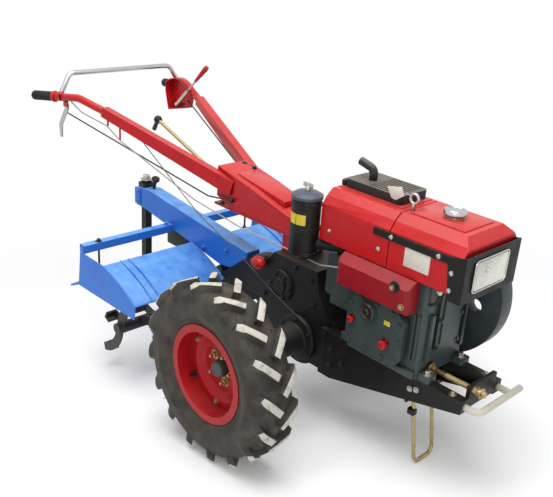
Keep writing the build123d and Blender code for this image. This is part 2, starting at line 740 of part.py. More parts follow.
# Muffler: a flat ribbed box on the hood, with its pipe bent to the rear.
with BuildPart() as muffler:
    with BuildSketch(Plane.XY.offset(HOOD_TOP)):
        with Locations(((MUFFLER_REAR + MUFFLER_FRONT) / 2, (MUFFLER_LEFT + MUFFLER_RIGHT) / 2)):
            RectangleRounded(MUFFLER_FRONT - MUFFLER_REAR, MUFFLER_LEFT - MUFFLER_RIGHT, 16)
    extrude(amount=MUFFLER_HEIGHT)
    rib = (MUFFLER_LEFT - MUFFLER_RIGHT) / MUFFLER_RIBS
    with BuildSketch(Plane.XY.offset(HOOD_TOP + MUFFLER_HEIGHT)):
        for index in range(1, MUFFLER_RIBS):
            with Locations((MUFFLER_FRONT - rib - MUFFLER_RIB_LENGTH / 2, MUFFLER_RIGHT + index * rib)):
                Rectangle(MUFFLER_RIB_LENGTH, rib / 3)
    extrude(amount=-rib / 3, mode=Mode.SUBTRACT)
muffler.part.label = "muffler"
export_step(parked * muffler.part, "parts/muffler.step")

pipe_foot = HOOD_TOP + MUFFLER_HEIGHT
with BuildPart() as pipe:
    with BuildLine() as pipe_run:
        FilletPolyline(
            (PIPE_X, 0, pipe_foot),
            (PIPE_X, 0, pipe_foot + PIPE_RISE),
            (PIPE_X - PIPE_REACH, 0, pipe_foot + PIPE_RISE + 14),
            radius=22,
        )
    with BuildSketch(Plane.XY.offset(pipe_foot)):
        with Locations((PIPE_X, 0)):
            Circle(PIPE_RADIUS)
    sweep(path=pipe_run.line)
    mouth = (PIPE_X - PIPE_REACH, 0, pipe_foot + PIPE_RISE + 14)
    with BuildSketch(toward(mouth, (PIPE_X, 0, pipe_foot + PIPE_RISE))):
        Circle(PIPE_RADIUS - 2)
    extrude(amount=24, mode=Mode.SUBTRACT)
pipe.part.label = "exhaust_pipe"
export_step(parked * pipe.part, "parts/exhaust_pipe.step")

# Lifting eye on a stem through the tank's top.
with BuildPart() as eye:
    with BuildSketch(Plane.XY.offset(HOOD_TOP)):
        with Locations((EYE_X, EYE_Y)):
            Circle(EYE_ROD + 2)
    extrude(amount=EYE_STEM)
    with BuildSketch(Plane.XY.offset(HOOD_TOP + EYE_STEM - 2 + EYE_RADIUS)):
        with Locations((EYE_X + EYE_RADIUS, EYE_Y)):
            Circle(EYE_ROD)
    revolve(axis=Axis((EYE_X, EYE_Y, HOOD_TOP + EYE_STEM - 2 + EYE_RADIUS), (0, 1, 0)))
eye.part.label = "lifting_eye"
export_step(parked * eye.part, "parts/lifting_eye.step")

# Oil-bath air cleaner: the can on its intake elbow, and the lid.
with BuildPart() as cleaner:
    with BuildSketch(Plane.XZ.offset(-CLEANER_Y)):
        with BuildLine():
            Polyline(
                (CLEANER_X, CLEANER_BOTTOM),
                (CLEANER_X + CLEANER_RADIUS - 12, CLEANER_BOTTOM),
                (CLEANER_X + CLEANER_RADIUS, CLEANER_BOTTOM + 14),
                (CLEANER_X + CLEANER_RADIUS, CLEANER_TOP),
                (CLEANER_X, CLEANER_TOP),
                close=True,
            )
        make_face()
    revolve(axis=Axis((CLEANER_X, CLEANER_Y, 0), (0, 0, 1)))
    with BuildLine() as intake_run:
        FilletPolyline(
            (CLEANER_X, CLEANER_Y, INTAKE_Z),
            (INTAKE_X, -HEAD_HALF + 26, INTAKE_Z),
            (INTAKE_X, -HEAD_HALF + 26, HEAD_TOP),
            radius=21,
        )
    with BuildSketch(
        toward((CLEANER_X, CLEANER_Y, INTAKE_Z), (INTAKE_X, -HEAD_HALF + 26, INTAKE_Z))
    ):
        Circle(INTAKE_RADIUS)
    sweep(path=intake_run.line)
cleaner.part.label = "air_cleaner"
export_step(parked * cleaner.part, "parts/air_cleaner.step")

with BuildPart() as lid:
    with BuildSketch(Plane.XZ.offset(-CLEANER_Y)):
        with BuildLine():
            Polyline(
                (CLEANER_X, CLEANER_TOP),
                (CLEANER_X + CLEANER_RADIUS + 4, CLEANER_TOP),
                (CLEANER_X + CLEANER_RADIUS + 4, CLEANER_TOP + 10),
                (CLEANER_X + 0.72 * CLEANER_RADIUS, CLEANER_TOP + LID_HEIGHT - 6),
                (CLEANER_X, CLEANER_TOP + LID_HEIGHT),
                close=True,
            )
        make_face()
    revolve(axis=Axis((CLEANER_X, CLEANER_Y, 0), (0, 0, 1)))
lid.part.label = "air_cleaner_lid"
export_step(parked * lid.part, "parts/air_cleaner_lid.step")

# Gearbox: the final-drive drum round the axle under the stepped main case, a shaft cover on its right.
with BuildPart() as gearbox:
    with BuildSketch(Plane.XZ.offset(-BOX_HALF)):
        with BuildLine():
            Polyline(
                (BOX_REAR, 300),
                (BOX_REAR, 520),
                (BOX_REAR + 60, BOX_TOP),
                (RAIL_REAR - 76, BOX_TOP),
                (RAIL_REAR - 56, 520),
                (RAIL_REAR, RAIL_TOP + 15),
                (RAIL_REAR, RAIL_TOP - RAIL_HEEL_HEIGHT),
                (60, RAIL_TOP - RAIL_HEEL_HEIGHT),
                close=True,
            )
        make_face()
        with Locations((0, AXLE_Z)):
            Circle(FINAL_RADIUS)
    extrude(amount=2 * BOX_HALF)
    with BuildSketch(Plane.XZ.offset(-2 * BOX_HALF)):
        with Locations((0, AXLE_Z)):
            Circle(AXLE_RADIUS + RUNNING_FIT)
    extrude(amount=4 * BOX_HALF, mode=Mode.SUBTRACT)
    with BuildSketch(Plane.YZ.offset(RAIL_REAR - 16)):
        with Locations((0, RAIL_TOP - RAIL_HEEL_HEIGHT / 2)):
            Rectangle(2 * RAIL_OUTSIDE, RAIL_HEEL_HEIGHT)
    extrude(amount=16)
    for depth, radius in ((SHAFT_COVER_DEPTH, SHAFT_COVER_RADIUS), (SHAFT_COVER_DEPTH + 6, SHAFT_COVER_RADIUS / 2)):
        with BuildSketch(Plane.XZ.offset(BOX_HALF)):
            with Locations((SHAFT_COVER_X, SHAFT_COVER_Z)):
                Circle(radius)
        extrude(amount=depth)
gearbox.part.label = "gearbox"
export_step(parked * gearbox.part, "parts/gearbox.step")

# Belt drive on the left: flywheel with the crank pulley, clutch pulley, three V-belts and their guard.
belt_rows = [FLYWHEEL_OUTER + 18 + BELT_PITCH * index for index in range(BELT_COUNT)]
pulley_face = belt_rows[-1] + BELT_PITCH / 2 + 4
with BuildPart() as flywheel:
    with BuildSketch(Plane(origin=(CRANK_X, 0, CRANK_Z), x_dir=(0, 1, 0), z_dir=(1, 0, 0))):
        with BuildLine():
            Polyline(
                (FLYWHEEL_INNER, CRANK_RADIUS),
                (FLYWHEEL_INNER, FLYWHEEL_RADIUS),
                (FLYWHEEL_OUTER, FLYWHEEL_RADIUS),
                (FLYWHEEL_OUTER, FLYWHEEL_RADIUS - FLYWHEEL_RIM),
                (FLYWHEEL_OUTER - 26, FLYWHEEL_RADIUS - FLYWHEEL_RIM),
                (FLYWHEEL_OUTER - 26, CRANK_PULLEY + 12),
                (FLYWHEEL_OUTER, CRANK_PULLEY + 4),
                (pulley_face, CRANK_PULLEY + 4),
                (pulley_face, 0),
                (ENGINE_HALF + 20 - CRANK_DEPTH + 4, 0),
                (ENGINE_HALF + 20 - CRANK_DEPTH + 4, CRANK_RADIUS),
                close=True,
            )
        make_face()
        for row in belt_rows:
            with Locations((row, CRANK_PULLEY + 4)):
                Rectangle(BELT_WIDTH + 2 * BELT_GAP, 2 * (BELT_DEPTH + 4), mode=Mode.SUBTRACT)
    revolve(axis=Axis((CRANK_X, 0, CRANK_Z), (0, 1, 0)))
    with BuildSketch(Plane.XZ.offset(-FLYWHEEL_OUTER)):
        with Locations((CRANK_X, CRANK_Z)):
            with PolarLocations(FLYWHEEL_HOLE_CIRCLE, 4, start_angle=FLYWHEEL_HOLE_TURN):
                Circle(FLYWHEEL_HOLE)
    extrude(amount=FLYWHEEL_OUTER - FLYWHEEL_INNER, mode=Mode.SUBTRACT)
flywheel.part.label = "flywheel"
export_step(parked * flywheel.part, "parts/flywheel.step")

with BuildPart() as clutch:
    with BuildSketch(Plane(origin=(CLUTCH_X, 0, CLUTCH_Z), x_dir=(0, 1, 0), z_dir=(1, 0, 0))):
        with BuildLine():
            Polyline(
                (BOX_HALF + 0.5, 0),
                (BOX_HALF + 0.5, PULLEY_SHAFT),
                (FLYWHEEL_OUTER - 20, PULLEY_SHAFT),
                (FLYWHEEL_OUTER - 20, CLUTCH_PULLEY - 30),
                (FLYWHEEL_OUTER + 4, CLUTCH_PULLEY + 4),
                (pulley_face, CLUTCH_PULLEY + 4),
                (pulley_face, 0),
                close=True,
            )
        make_face()
        for row in belt_rows:
            with Locations((row, CLUTCH_PULLEY + 4)):
                Rectangle(BELT_WIDTH + 2 * BELT_GAP, 2 * (BELT_DEPTH + 4), mode=Mode.SUBTRACT)
    revolve(axis=Axis((CLUTCH_X, 0, CLUTCH_Z), (0, 1, 0)))
clutch.part.label = "clutch_pulley"
export_step(parked * clutch.part, "parts/clutch_pulley.step")

with BuildPart() as belts:
    for row in belt_rows:
        with BuildSketch(Plane.XZ.offset(-row - BELT_WIDTH / 2)):
            with BuildLine():
                CenterArc((CRANK_X, CRANK_Z), CRANK_PULLEY + BELT_GAP, 0, 360)
                CenterArc((CLUTCH_X, CLUTCH_Z), CLUTCH_PULLEY + BELT_GAP, 0, 360)
            make_hull()
        extrude(amount=BELT_WIDTH)
        with BuildSketch(Plane.XZ.offset(-row - BELT_WIDTH / 2)):
            with BuildLine():
                CenterArc((CRANK_X, CRANK_Z), CRANK_PULLEY + BELT_GAP - BELT_DEPTH, 0, 360)
                CenterArc((CLUTCH_X, CLUTCH_Z), CLUTCH_PULLEY + BELT_GAP - BELT_DEPTH, 0, 360)
            make_hull()
        extrude(amount=BELT_WIDTH, mode=Mode.SUBTRACT)
belts.part.label = "drive_belts"
export_step(parked * belts.part, "parts/drive_belts.step")

guard_wide = GUARD_CLEAR + GUARD_SHEET
with BuildPart() as guard:
    with BuildSketch(Plane.XZ.offset(-GUARD_WALL)):
        with BuildLine():
            CenterArc((CRANK_X, CRANK_Z), CRANK_PULLEY + guard_wide, 0, 360)
            CenterArc((CLUTCH_X, CLUTCH_Z), CLUTCH_PULLEY + guard_wide, 0, 360)
        make_hull()
    extrude(amount=GUARD_WALL - FLYWHEEL_OUTER - 8)
    with BuildSketch(Plane.XZ.offset(-GUARD_WALL + GUARD_SHEET)):
        with BuildLine():
            CenterArc((CRANK_X, CRANK_Z), CRANK_PULLEY + GUARD_CLEAR, 0, 360)
            CenterArc((CLUTCH_X, CLUTCH_Z), CLUTCH_PULLEY + GUARD_CLEAR, 0, 360)
        make_hull()
    extrude(amount=GUARD_WALL, mode=Mode.SUBTRACT)
    with BuildSketch(Plane.XZ.offset(-GUARD_WALL + GUARD_SHEET / 2)):
        with Locations((CLUTCH_X, CLUTCH_Z)):
            with PolarLocations(CLUTCH_PULLEY + guard_wide, 2, start_angle=180, angular_range=220):
                Circle(GUARD_STAY)
    extrude(amount=GUARD_WALL - GUARD_SHEET / 2 - BOX_HALF)
guard.part.label = "belt_guard"
export_step(parked * guard.part, "parts/belt_guard.step")

# Handle base: a stepped sheet box on its pedestal over the gearbox.
base_outline = (
    (BASE_REAR, BASE_BOTTOM + 30),
    (BASE_REAR, 832),
    (-336, 796),
    (-326, 778),
    (-112, 742),
    (BASE_FRONT, BASE_BOTTOM),
    (-440, BASE_BOTTOM),
)
with BuildPart() as base_solid:
    with BuildSketch(Plane.XZ.offset(-BASE_HALF)):
        with BuildLine():
            Polyline(*base_outline, close=True)
        make_face()
    extrude(amount=2 * BASE_HALF)
with BuildPart() as base:
    add(base_solid.part)
    offset(amount=-BASE_SHEET, openings=base.faces().sort_by(Axis.Z)[0], kind=Kind.INTERSECTION)
base.part.label = "handle_base"
export_step(parked * base.part, "parts/handle_base.step")

with BuildPart() as pedestal:
    with BuildSketch(Plane.XY.offset(BOX_TOP)):
        with Locations((-104, 0)):
            Rectangle(96, 2 * MOUNT_HALF)
    extrude(amount=BASE_BOTTOM - BOX_TOP)
    with BuildSketch(Plane.XY.offset(BASE_BOTTOM)):
        with Locations(((BASE_FRONT - 440) / 2, 0)):
            Rectangle(-BASE_FRONT + 440 - 4, 2 * BASE_HALF)
    extrude(amount=-10)
pedestal.part.label = "handle_pedestal"
export_step(parked * pedestal.part, "parts/handle_pedestal.step")

# Handlebar arms: a box beam off the base's side, then the bent tube to the grip.
arm_parts = {}
cable_clips = ((-1035, -246, 894), (-975, -226, 846))
quadrant_x = BEND_X - QUADRANT_BACK
quadrant_z = BEND_Z - QUADRANT_DROP
for name, side in sides:
    root = (ARM_ROOT_X, side * (BASE_HALF - 8), ARM_ROOT_Z)
    tip = (ARM_TIP_X, side * ARM_TIP_Y, ARM_TIP_Z)
    bend = (BEND_X, side * BEND_Y, BEND_Z)
    hand = Vector(GRIP_X, side * GRIP_Y, GRIP_Z)
    grip_run = (Vector(*bend) - hand).normalized()
    tube_end = hand + grip_run * GRIP_CAP
    root_face = toward(root, tip)
    tip_face = Plane(origin=tip, x_dir=root_face.x_dir, z_dir=root_face.z_dir)
    with BuildPart() as arm:
        with BuildSketch(root_face):
            Rectangle(ARM_WIDTH, ARM_DEEP)
        with BuildSketch(tip_face):
            Rectangle(ARM_WIDTH, ARM_SLIM)
        loft()
        with BuildSketch(root_face):
            Rectangle(ARM_WIDTH - 2 * ARM_SHEET, ARM_DEEP - 2 * ARM_SHEET)
        with BuildSketch(tip_face.offset(-ARM_END)):
            Rectangle(ARM_WIDTH - 2 * ARM_SHEET, ARM_SLIM - 2 * ARM_SHEET)
        loft(mode=Mode.SUBTRACT)
        add(base_solid.part, mode=Mode.SUBTRACT)
        with BuildLine() as tube_run:
            FilletPolyline(tip, bend, tuple(tube_end), radius=TUBE_BEND)
        with BuildSketch(toward(tip, bend)):
            Circle(TUBE_RADIUS)
        sweep(path=tube_run.line)
        if side < 0:
            # The bracket for the steering lever hangs under the right tube, and clips for the throttle
            # cable under the arm.
            with BuildSketch(Plane.XZ.offset(STEER_Y)):
                with Locations((STEER_X, STEER_Z + 8)):
                    Rectangle(34, 44)
            extrude(amount=LEVER_SHEET)
            for x, y, z in cable_clips:
                along = (x - ARM_TIP_X) / (ARM_ROOT_X - ARM_TIP_X)
                arm_z = ARM_TIP_Z + along * (ARM_ROOT_Z - ARM_TIP_Z)
                with BuildSketch(Plane.XY.offset(z)):
                    with Locations((x, y)):
                        Rectangle(CLIP_WIDTH, CLIP_SHEET)
                extrude(amount=arm_z - z)
        else:
            # The clutch casing is a sector box inside the left tube, open towards the middle.
            casing_back = Plane.XZ.offset(-QUADRANT_FACE - QUADRANT_DEPTH)
            with BuildSketch(casing_back):
                with BuildLine():
                    rim_line = CenterArc(
                        (quadrant_x, quadrant_z), QUADRANT_RADIUS, QUADRANT_FROM, QUADRANT_SWEEP
                    )
                    Polyline(
                        rim_line @ 1,
                        (quadrant_x - 83, quadrant_z + 50),
                        (quadrant_x - 58, quadrant_z - 36),
                        (quadrant_x + 78, quadrant_z - 4),
                        rim_line @ 0,
                    )
                make_face()
            extrude(amount=QUADRANT_DEPTH)
            with BuildSketch(casing_back.offset(QUADRANT_SHEET)):
                with BuildLine():
                    inner_radius = QUADRANT_RADIUS - QUADRANT_SHEET
                    inner_line = CenterArc((quadrant_x, quadrant_z), inner_radius, QUADRANT_FROM, QUADRANT_SWEEP)
                    Polyline(
                        inner_line @ 1,
                        (quadrant_x - 79, quadrant_z + 49),
                        (quadrant_x - 55, quadrant_z - 31),
                        (quadrant_x + 74, quadrant_z - 1),
                        inner_line @ 0,
                    )
                make_face()
            extrude(amount=QUADRANT_DEPTH, mode=Mode.SUBTRACT)
            with BuildSketch(Plane.XZ.offset(-QUADRANT_FACE - QUADRANT_SLOT - QUADRANT_LIP)):
                with BuildLine():
                    slot_line = CenterArc((quadrant_x, quadrant_z), QUADRANT_RADIUS + 4, LEVER_TURN - 9, 60)
                    Line(slot_line @ 1, (quadrant_x, quadrant_z))
                    Line((quadrant_x, quadrant_z), slot_line @ 0)
                make_face()
            extrude(amount=QUADRANT_SLOT, mode=Mode.SUBTRACT)
    arm.part.label = f"handle_arm_{name}"
    export_step(parked * arm.part, f"parts/handle_arm_{name}.step")
    arm_parts[name] = arm.part

    grip_root = hand + grip_run * GRIP_LENGTH
    with BuildPart() as grip:
        with BuildSketch(toward(tuple(hand), tuple(grip_root))):
            Circle(GRIP_RADIUS)
        extrude(amount=GRIP_LENGTH)
        fillet(grip.edges().sort_by(Axis.X)[0], radius=8)
        add(arm.part, mode=Mode.SUBTRACT)
    grip.part.label = f"grip_{name}"
    export_step(parked * grip.part, f"parts/grip_{name}.step")

# Chrome hand bar across the two tubes.
bar_points = (
    (BAR_FOOT_X, -BAR_FOOT_Y, BAR_FOOT_Z),
    (BAR_X, -BAR_HALF, BAR_Z),
    (BAR_X, BAR_HALF, BAR_Z),
    (BAR_FOOT_X, BAR_FOOT_Y, BAR_FOOT_Z),
)
with BuildPart() as hand_bar:
    with BuildLine() as bar_run:
        FilletPolyline(*bar_points, radius=BAR_BEND)
    with BuildSketch(toward(bar_points[0], bar_points[1])):
        Circle(BAR_RADIUS)
    sweep(path=bar_run.line)
    add(arm_parts["right"], mode=Mode.SUBTRACT)
    add(arm_parts["left"], mode=Mode.SUBTRACT)
hand_bar.part.label = "hand_bar"
export_step(parked * hand_bar.part, "parts/hand_bar.step")

# Steering-clutch lever under the right grip and the main clutch lever in its casing.
with BuildPart() as steer_lever:
    with BuildSketch(Plane.XZ.offset(STEER_Y - LEVER_SHEET)):
        with BuildLine():
            Polyline(
                (STEER_X + 11, STEER_Z),
                (STEER_X + 11, STEER_Z - 22),
                (STEER_X - 49, STEER_Z - 105),
                (STEER_X - 54, STEER_Z - 160),
                (STEER_X - 70, STEER_Z - 160),
                (STEER_X - 74, STEER_Z - 101),
                (STEER_X - 11, STEER_Z - 11),
                (STEER_X - 11, STEER_Z),
                close=True,
            )
        make_face()
    extrude(amount=LEVER_SHEET)
steer_lever.part.label = "steering_lever"
export_step(parked * steer_lever.part, "parts/steering_lever.step")

lever_line = Vector(1, 0, 0).rotate(Axis.Y, -LEVER_TURN)
lever_y = QUADRANT_FACE + QUADRANT_LIP + QUADRANT_SLOT / 2
lever_pivot = Vector(quadrant_x, lever_y, quadrant_z)
with BuildPart() as clutch_lever:
    with BuildSketch(Plane(origin=tuple(lever_pivot), x_dir=(0, 1, 0), z_dir=tuple(lever_line))):
        Rectangle(LEVER_SHEET, 15)
    extrude(amount=QUADRANT_RADIUS - QUADRANT_SHEET - 12)
    with BuildSketch(Plane(origin=tuple(lever_pivot), x_dir=(0, 1, 0), z_dir=tuple(lever_line))):
        Circle(LEVER_ROD)
    extrude(amount=LEVER_LENGTH)
    with BuildSketch(
        Plane(
            origin=tuple(lever_pivot + lever_line * LEVER_LENGTH), x_dir=(0, 1, 0), z_dir=tuple(lever_line)
        ).offset(-LEVER_GRIP)
    ):
        Circle(LEVER_ROD + 2)
    extrude(amount=LEVER_GRIP, taper=-2)
    with BuildSketch(Plane.XZ.offset(-QUADRANT_FACE - QUADRANT_DEPTH + QUADRANT_SHEET)):
        with Locations((quadrant_x, quadrant_z)):
            Circle(8)
    extrude(amount=QUADRANT_DEPTH - QUADRANT_SHEET - QUADRANT_LIP)
clutch_lever.part.label = "clutch_lever"
export_step(parked * clutch_lever.part, "parts/clutch_lever.step")

# Gear-shift lever out of the base's rear.
gear_foot = (BASE_REAR, GEAR_Y, 757)
gear_knee = (BASE_REAR - 60, GEAR_Y, 760)
gear_knob = (GEAR_X, GEAR_Y, GEAR_Z)
with BuildPart() as gear_lever:
    with BuildLine() as gear_run:
        FilletPolyline(gear_foot, gear_knee, gear_knob, radius=40)
    with BuildSketch(toward(gear_foot, gear_knee)):
        Circle(GEAR_ROD)
    sweep(path=gear_run.line)
    with Locations(gear_knob):
        Sphere(GEAR_BALL)
    add(base_solid.part, mode=Mode.SUBTRACT)
gear_lever.part.label = "gear_lever"
export_step(parked * gear_lever.part, "parts/gear_lever.step")

# Pull rods: the steering rod hooked at the base's right side, and the clutch rod into its rear wall.
steer_start = (STEER_X - 18, -STEER_Y + LEVER_SHEET + 2, STEER_Z - 42)
steer_knee = (BASE_REAR - 30, -BASE_HALF - 20, BASE_BOTTOM + 22)
steer_end = (BASE_REAR + 98, -BASE_HALF - ROD_EYE, BASE_BOTTOM + 37)
with BuildPart() as steer_rod:
    with BuildLine() as rod_run:
        FilletPolyline(steer_start, steer_knee, steer_end, radius=30)
    with BuildSketch(toward(steer_start, steer_knee)):
        Circle(STEER_ROD)
    sweep(path=rod_run.line)
    with BuildSketch(Plane.XZ.offset(BASE_HALF)):
        with Locations((steer_end[0], steer_end[2])):
            Circle(ROD_EYE)
    extrude(amount=2 * ROD_EYE)
    add(steer_lever.part, mode=Mode.SUBTRACT)
steer_rod.part.label = "steering_rod"
export_step(parked * steer_rod.part, "parts/steering_rod.step")

# Throttle cable: from the lever on the right tube through the arm's clips, below the base and to the engine.
cable_points = (
    (THROTTLE_X, -298, 960),
    (-1180, -284, 925),
    *[(x, y - CLIP_SHEET / 2 - CABLE_RADIUS, z) for x, y, z in cable_clips],
    (-617, -BASE_HALF - 40, BASE_BOTTOM - 8),
    (-330, -BOX_HALF - 12, BASE_BOTTOM - 40),
    (-90, -BOX_HALF - 12, BASE_BOTTOM - 38),
    (100, -BOX_HALF - 30, BASE_BOTTOM - 30),
    (SIDE_COVER_REAR + 2, -ENGINE_HALF - SIDE_COVER_DEPTH / 2, 690),
)
with BuildPart() as cable:
    with BuildLine() as cable_run:
        FilletPolyline(*cable_points, radius=60)
    with BuildSketch(toward(cable_points[0], cable_points[1])):
        Circle(CABLE_RADIUS)
    sweep(path=cable_run.line)
    add(side_cover.part, mode=Mode.SUBTRACT)
    add(arm_parts["right"], mode=Mode.SUBTRACT)
cable.part.label = "throttle_cable"
export_step(parked * cable.part, "parts/throttle_cable.step")

clutch_start = Vector(quadrant_x + 86, QUADRANT_FACE + 12, quadrant_z + 30)
clutch_end = Vector(BASE_REAR, BASE_HALF - 30, BASE_BOTTOM + 120)
with BuildPart() as clutch_rod:
    with BuildSketch(toward(tuple(clutch_start), tuple(clutch_end))):
        Circle(STEER_ROD)
    extrude(amount=(clutch_end - clutch_start).length + BASE_SHEET)
    add(base_solid.part, mode=Mode.SUBTRACT)
    add(arm_parts["left"], mode=Mode.SUBTRACT)
clutch_rod.part.label = "clutch_rod"
export_step(parked * clutch_rod.part, "parts/clutch_rod.step")

# Tiller drive case: bolted to the gearbox's rear face, its chain leg reaching down to the rotor.
with BuildPart() as case:
    with BuildSketch(Plane.XZ.offset(-CASE_HALF)):
        with BuildLine():
            CenterArc((CASE_HEAD_X, CASE_HEAD_Z), CASE_HEAD_RADIUS, 0, 360)
            CenterArc((ROTOR_X, ROTOR_Z), CASE_FOOT_RADIUS, 0, 360)
        make_hull()
    extrude(amount=2 * CASE_HALF)
    with BuildSketch(Plane.YZ.offset(BOX_REAR)):
        with Locations((0, CASE_HEAD_Z)):
            RectangleRounded(170, 190, 20)
    extrude(amount=-16)
    with BuildSketch(Plane.YZ.offset(BOX_REAR - 16)):
        with Locations((0, CASE_HEAD_Z)):
            RectangleRounded(120, 140, 20)
    extrude(amount=CASE_HEAD_X - BOX_REAR - 16)
    with BuildSketch(Plane.XZ.offset(-2 * CASE_HALF)):
        with Locations((ROTOR_X, ROTOR_Z)):
            Circle(ROTOR_SHAFT + RUNNING_FIT)
    extrude(amount=4 * CASE_HALF, mode=Mode.SUBTRACT)
case.part.label = "tiller_case"
export_step(parked * case.part, "parts/tiller_case.step")

# Tiller beam: the box beam over the case that carries the depth post at its rear end.
with BuildPart() as beam:
    with BuildSketch(Plane.XZ.offset(-CASE_HALF)):
        with BuildLine():
            Polyline(
                (POST_X - 32, 474),
                (POST_X - 32, 562),
                (-1052, 570),
                (-548, 521),
                (-370, 504),
                (-370, 420),
                (-533, 395),
                (-1094, 474),
                close=True,
            )
        make_face()
    extrude(amount=2 * CASE_HALF)
    offset(amount=-BEAM_SHEET, openings=beam.faces().sort_by(Axis.X)[0], kind=Kind.INTERSECTION)
    with BuildSketch(Plane.XY):
        with Locations((POST_X, 0)):
            Rectangle(POST_WIDTH, POST_WIDTH)
    extrude(amount=1000, mode=Mode.SUBTRACT)
    add(case.part, mode=Mode.SUBTRACT)
beam.part.label = "tiller_beam"
export_step(parked * beam.part, "parts/tiller_beam.step")

# Depth post with its clamp nut and skid.
with BuildPart() as post:
    with BuildSketch(Plane.XY.offset(POST_BOTTOM)):
        with Locations((POST_X, 0)):
            Rectangle(POST_WIDTH, POST_WIDTH)
    extrude(amount=POST_TOP - POST_BOTTOM)
    with BuildSketch(Plane.XY.offset(POST_BOTTOM)):
        with Locations((POST_X, 0)):
            RectangleRounded(120, 76, 14)
    extrude(amount=8)
post.part.label = "depth_post"
export_step(parked * post.part, "parts/depth_post.step")

# Tiller hood: one curved cover to each side of the beam, end plates and the angle bar behind.
hood_front = Vector(HOOD_FRONT_X, HOOD_FRONT_Z)
hood_rear = Vector(HOOD_REAR_X, END_TOP)
hood_crown = (hood_front + hood_rear) / 2 + Vector(-0.18, 0.42).normalized() * HOOD_RISE
hood_down = Vector(0, -HOOD_PLATE)
for name, side in sides:
    with BuildPart() as cover:
        with BuildSketch(Plane.XZ.offset(-side * TILLER_HALF)):
            with BuildLine():
                ThreePointArc(hood_front, hood_crown, hood_rear)
                Line(hood_rear, hood_rear + hood_down)
                ThreePointArc(hood_rear + hood_down, hood_crown + hood_down, hood_front + hood_down)
                Line(hood_front + hood_down, hood_front)
            make_face()
        extrude(amount=side * (TILLER_HALF - CASE_HALF))
    cover.part.label = f"tiller_hood_{name}"
    export_step(parked * cover.part, f"parts/tiller_hood_{name}.step")

    with BuildPart() as end_plate:
        with BuildSketch(Plane.XZ.offset(-side * TILLER_HALF)):
            with BuildLine():
                ThreePointArc(hood_front, hood_crown, hood_rear)
                Polyline(
                    hood_rear,
                    (END_REAR_X, END_TOP),
                    (END_HEEL_X, END_HEEL_Z),
                    (END_TOE_X, END_TOE_Z),
                    hood_front,
                )
            make_face()
        extrude(amount=-side * HOOD_PLATE)
    end_plate.part.label = f"tiller_end_{name}"
    export_step(parked * end_plate.part, f"parts/tiller_end_{name}.step")

with BuildPart() as rear_bar:
    with BuildSketch(Plane.XZ.offset(CASE_HALF)):
        with BuildLine():
            Polyline(
                (END_REAR_X + BAR_ANGLE, END_TOP),
                (END_REAR_X + BAR_ANGLE, END_TOP + BAR_ANGLE),
                (END_REAR_X, END_TOP + BAR_ANGLE),
                (END_REAR_X, END_TOP + BAR_ANGLE - BAR_SHEET),
                (END_REAR_X + BAR_ANGLE - BAR_SHEET, END_TOP + BAR_ANGLE - BAR_SHEET),
                (END_REAR_X + BAR_ANGLE - BAR_SHEET, END_TOP),
                close=True,
            )
        make_face()
    extrude(amount=TILLER_HALF + HOOD_PLATE - CASE_HALF)
    mirror(about=Plane.XZ)
rear_bar.part.label = "tiller_rear_bar"
export_step(parked * rear_bar.part, "parts/tiller_rear_bar.step")

# Rotor: the cross shaft with curved blades in pairs, each pair turned on from the last one.
blade_rows = (
    # distance out from the middle, turn of the pair, side the toe bends to
    (62, 0, 1),
    (150, 40, 1),
    (238, 80, 1),
    (326, 120, 1),
    (412, 160, -1),
)
with BuildPart() as blade:
    with BuildSketch(Plane.XZ.offset(-BLADE_SHEET / 2)):
        with BuildLine():
            Line((-BLADE_WIDTH / 2, 0), (BLADE_WIDTH / 2, 0))
            ThreePointArc((BLADE_WIDTH / 2, 0), (BLADE_WIDTH / 2 + 8, 92), (76, 158))
            Line((76, 158), (58, 186))
            ThreePointArc((58, 186), (-8, 112), (-BLADE_WIDTH / 2, 0))
        make_face()
    extrude(amount=BLADE_SHEET)
with BuildPart() as toe:
    with BuildSketch(Plane.XZ.offset(-BLADE_SHEET / 2 - BLADE_TOE)):
        with BuildLine():
            Polyline((76, 158), (58, 186), (30, 168), (38, 160), (56, 172), (70, 152), close=True)
        make_face()
    extrude(amount=BLADE_TOE)
rotor_blades = []
for out, turn, bend in blade_rows:
    for side in (-1, 1):
        for half in (0, 180):
            bent = blade.part + (toe.part if bend * side > 0 else toe.part.mirror(Plane.XZ))
            place = Pos(ROTOR_X, side * out, ROTOR_Z) * Rot(0, turn * side + half, 0)
            rotor_blades.append(place * bent)
with BuildPart() as rotor:
    with BuildSketch(Plane.XZ.offset(-ROTOR_HALF)):
        with Locations((ROTOR_X, ROTOR_Z)):
            Circle(ROTOR_SHAFT)
    extrude(amount=2 * ROTOR_HALF)
    add(rotor_blades)
rotor.part.label = "tiller_rotor"
export_step(parked * rotor.part, "parts/tiller_rotor.step")
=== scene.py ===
import math
import random

import bmesh
import bpy
from mathutils import Matrix, Vector


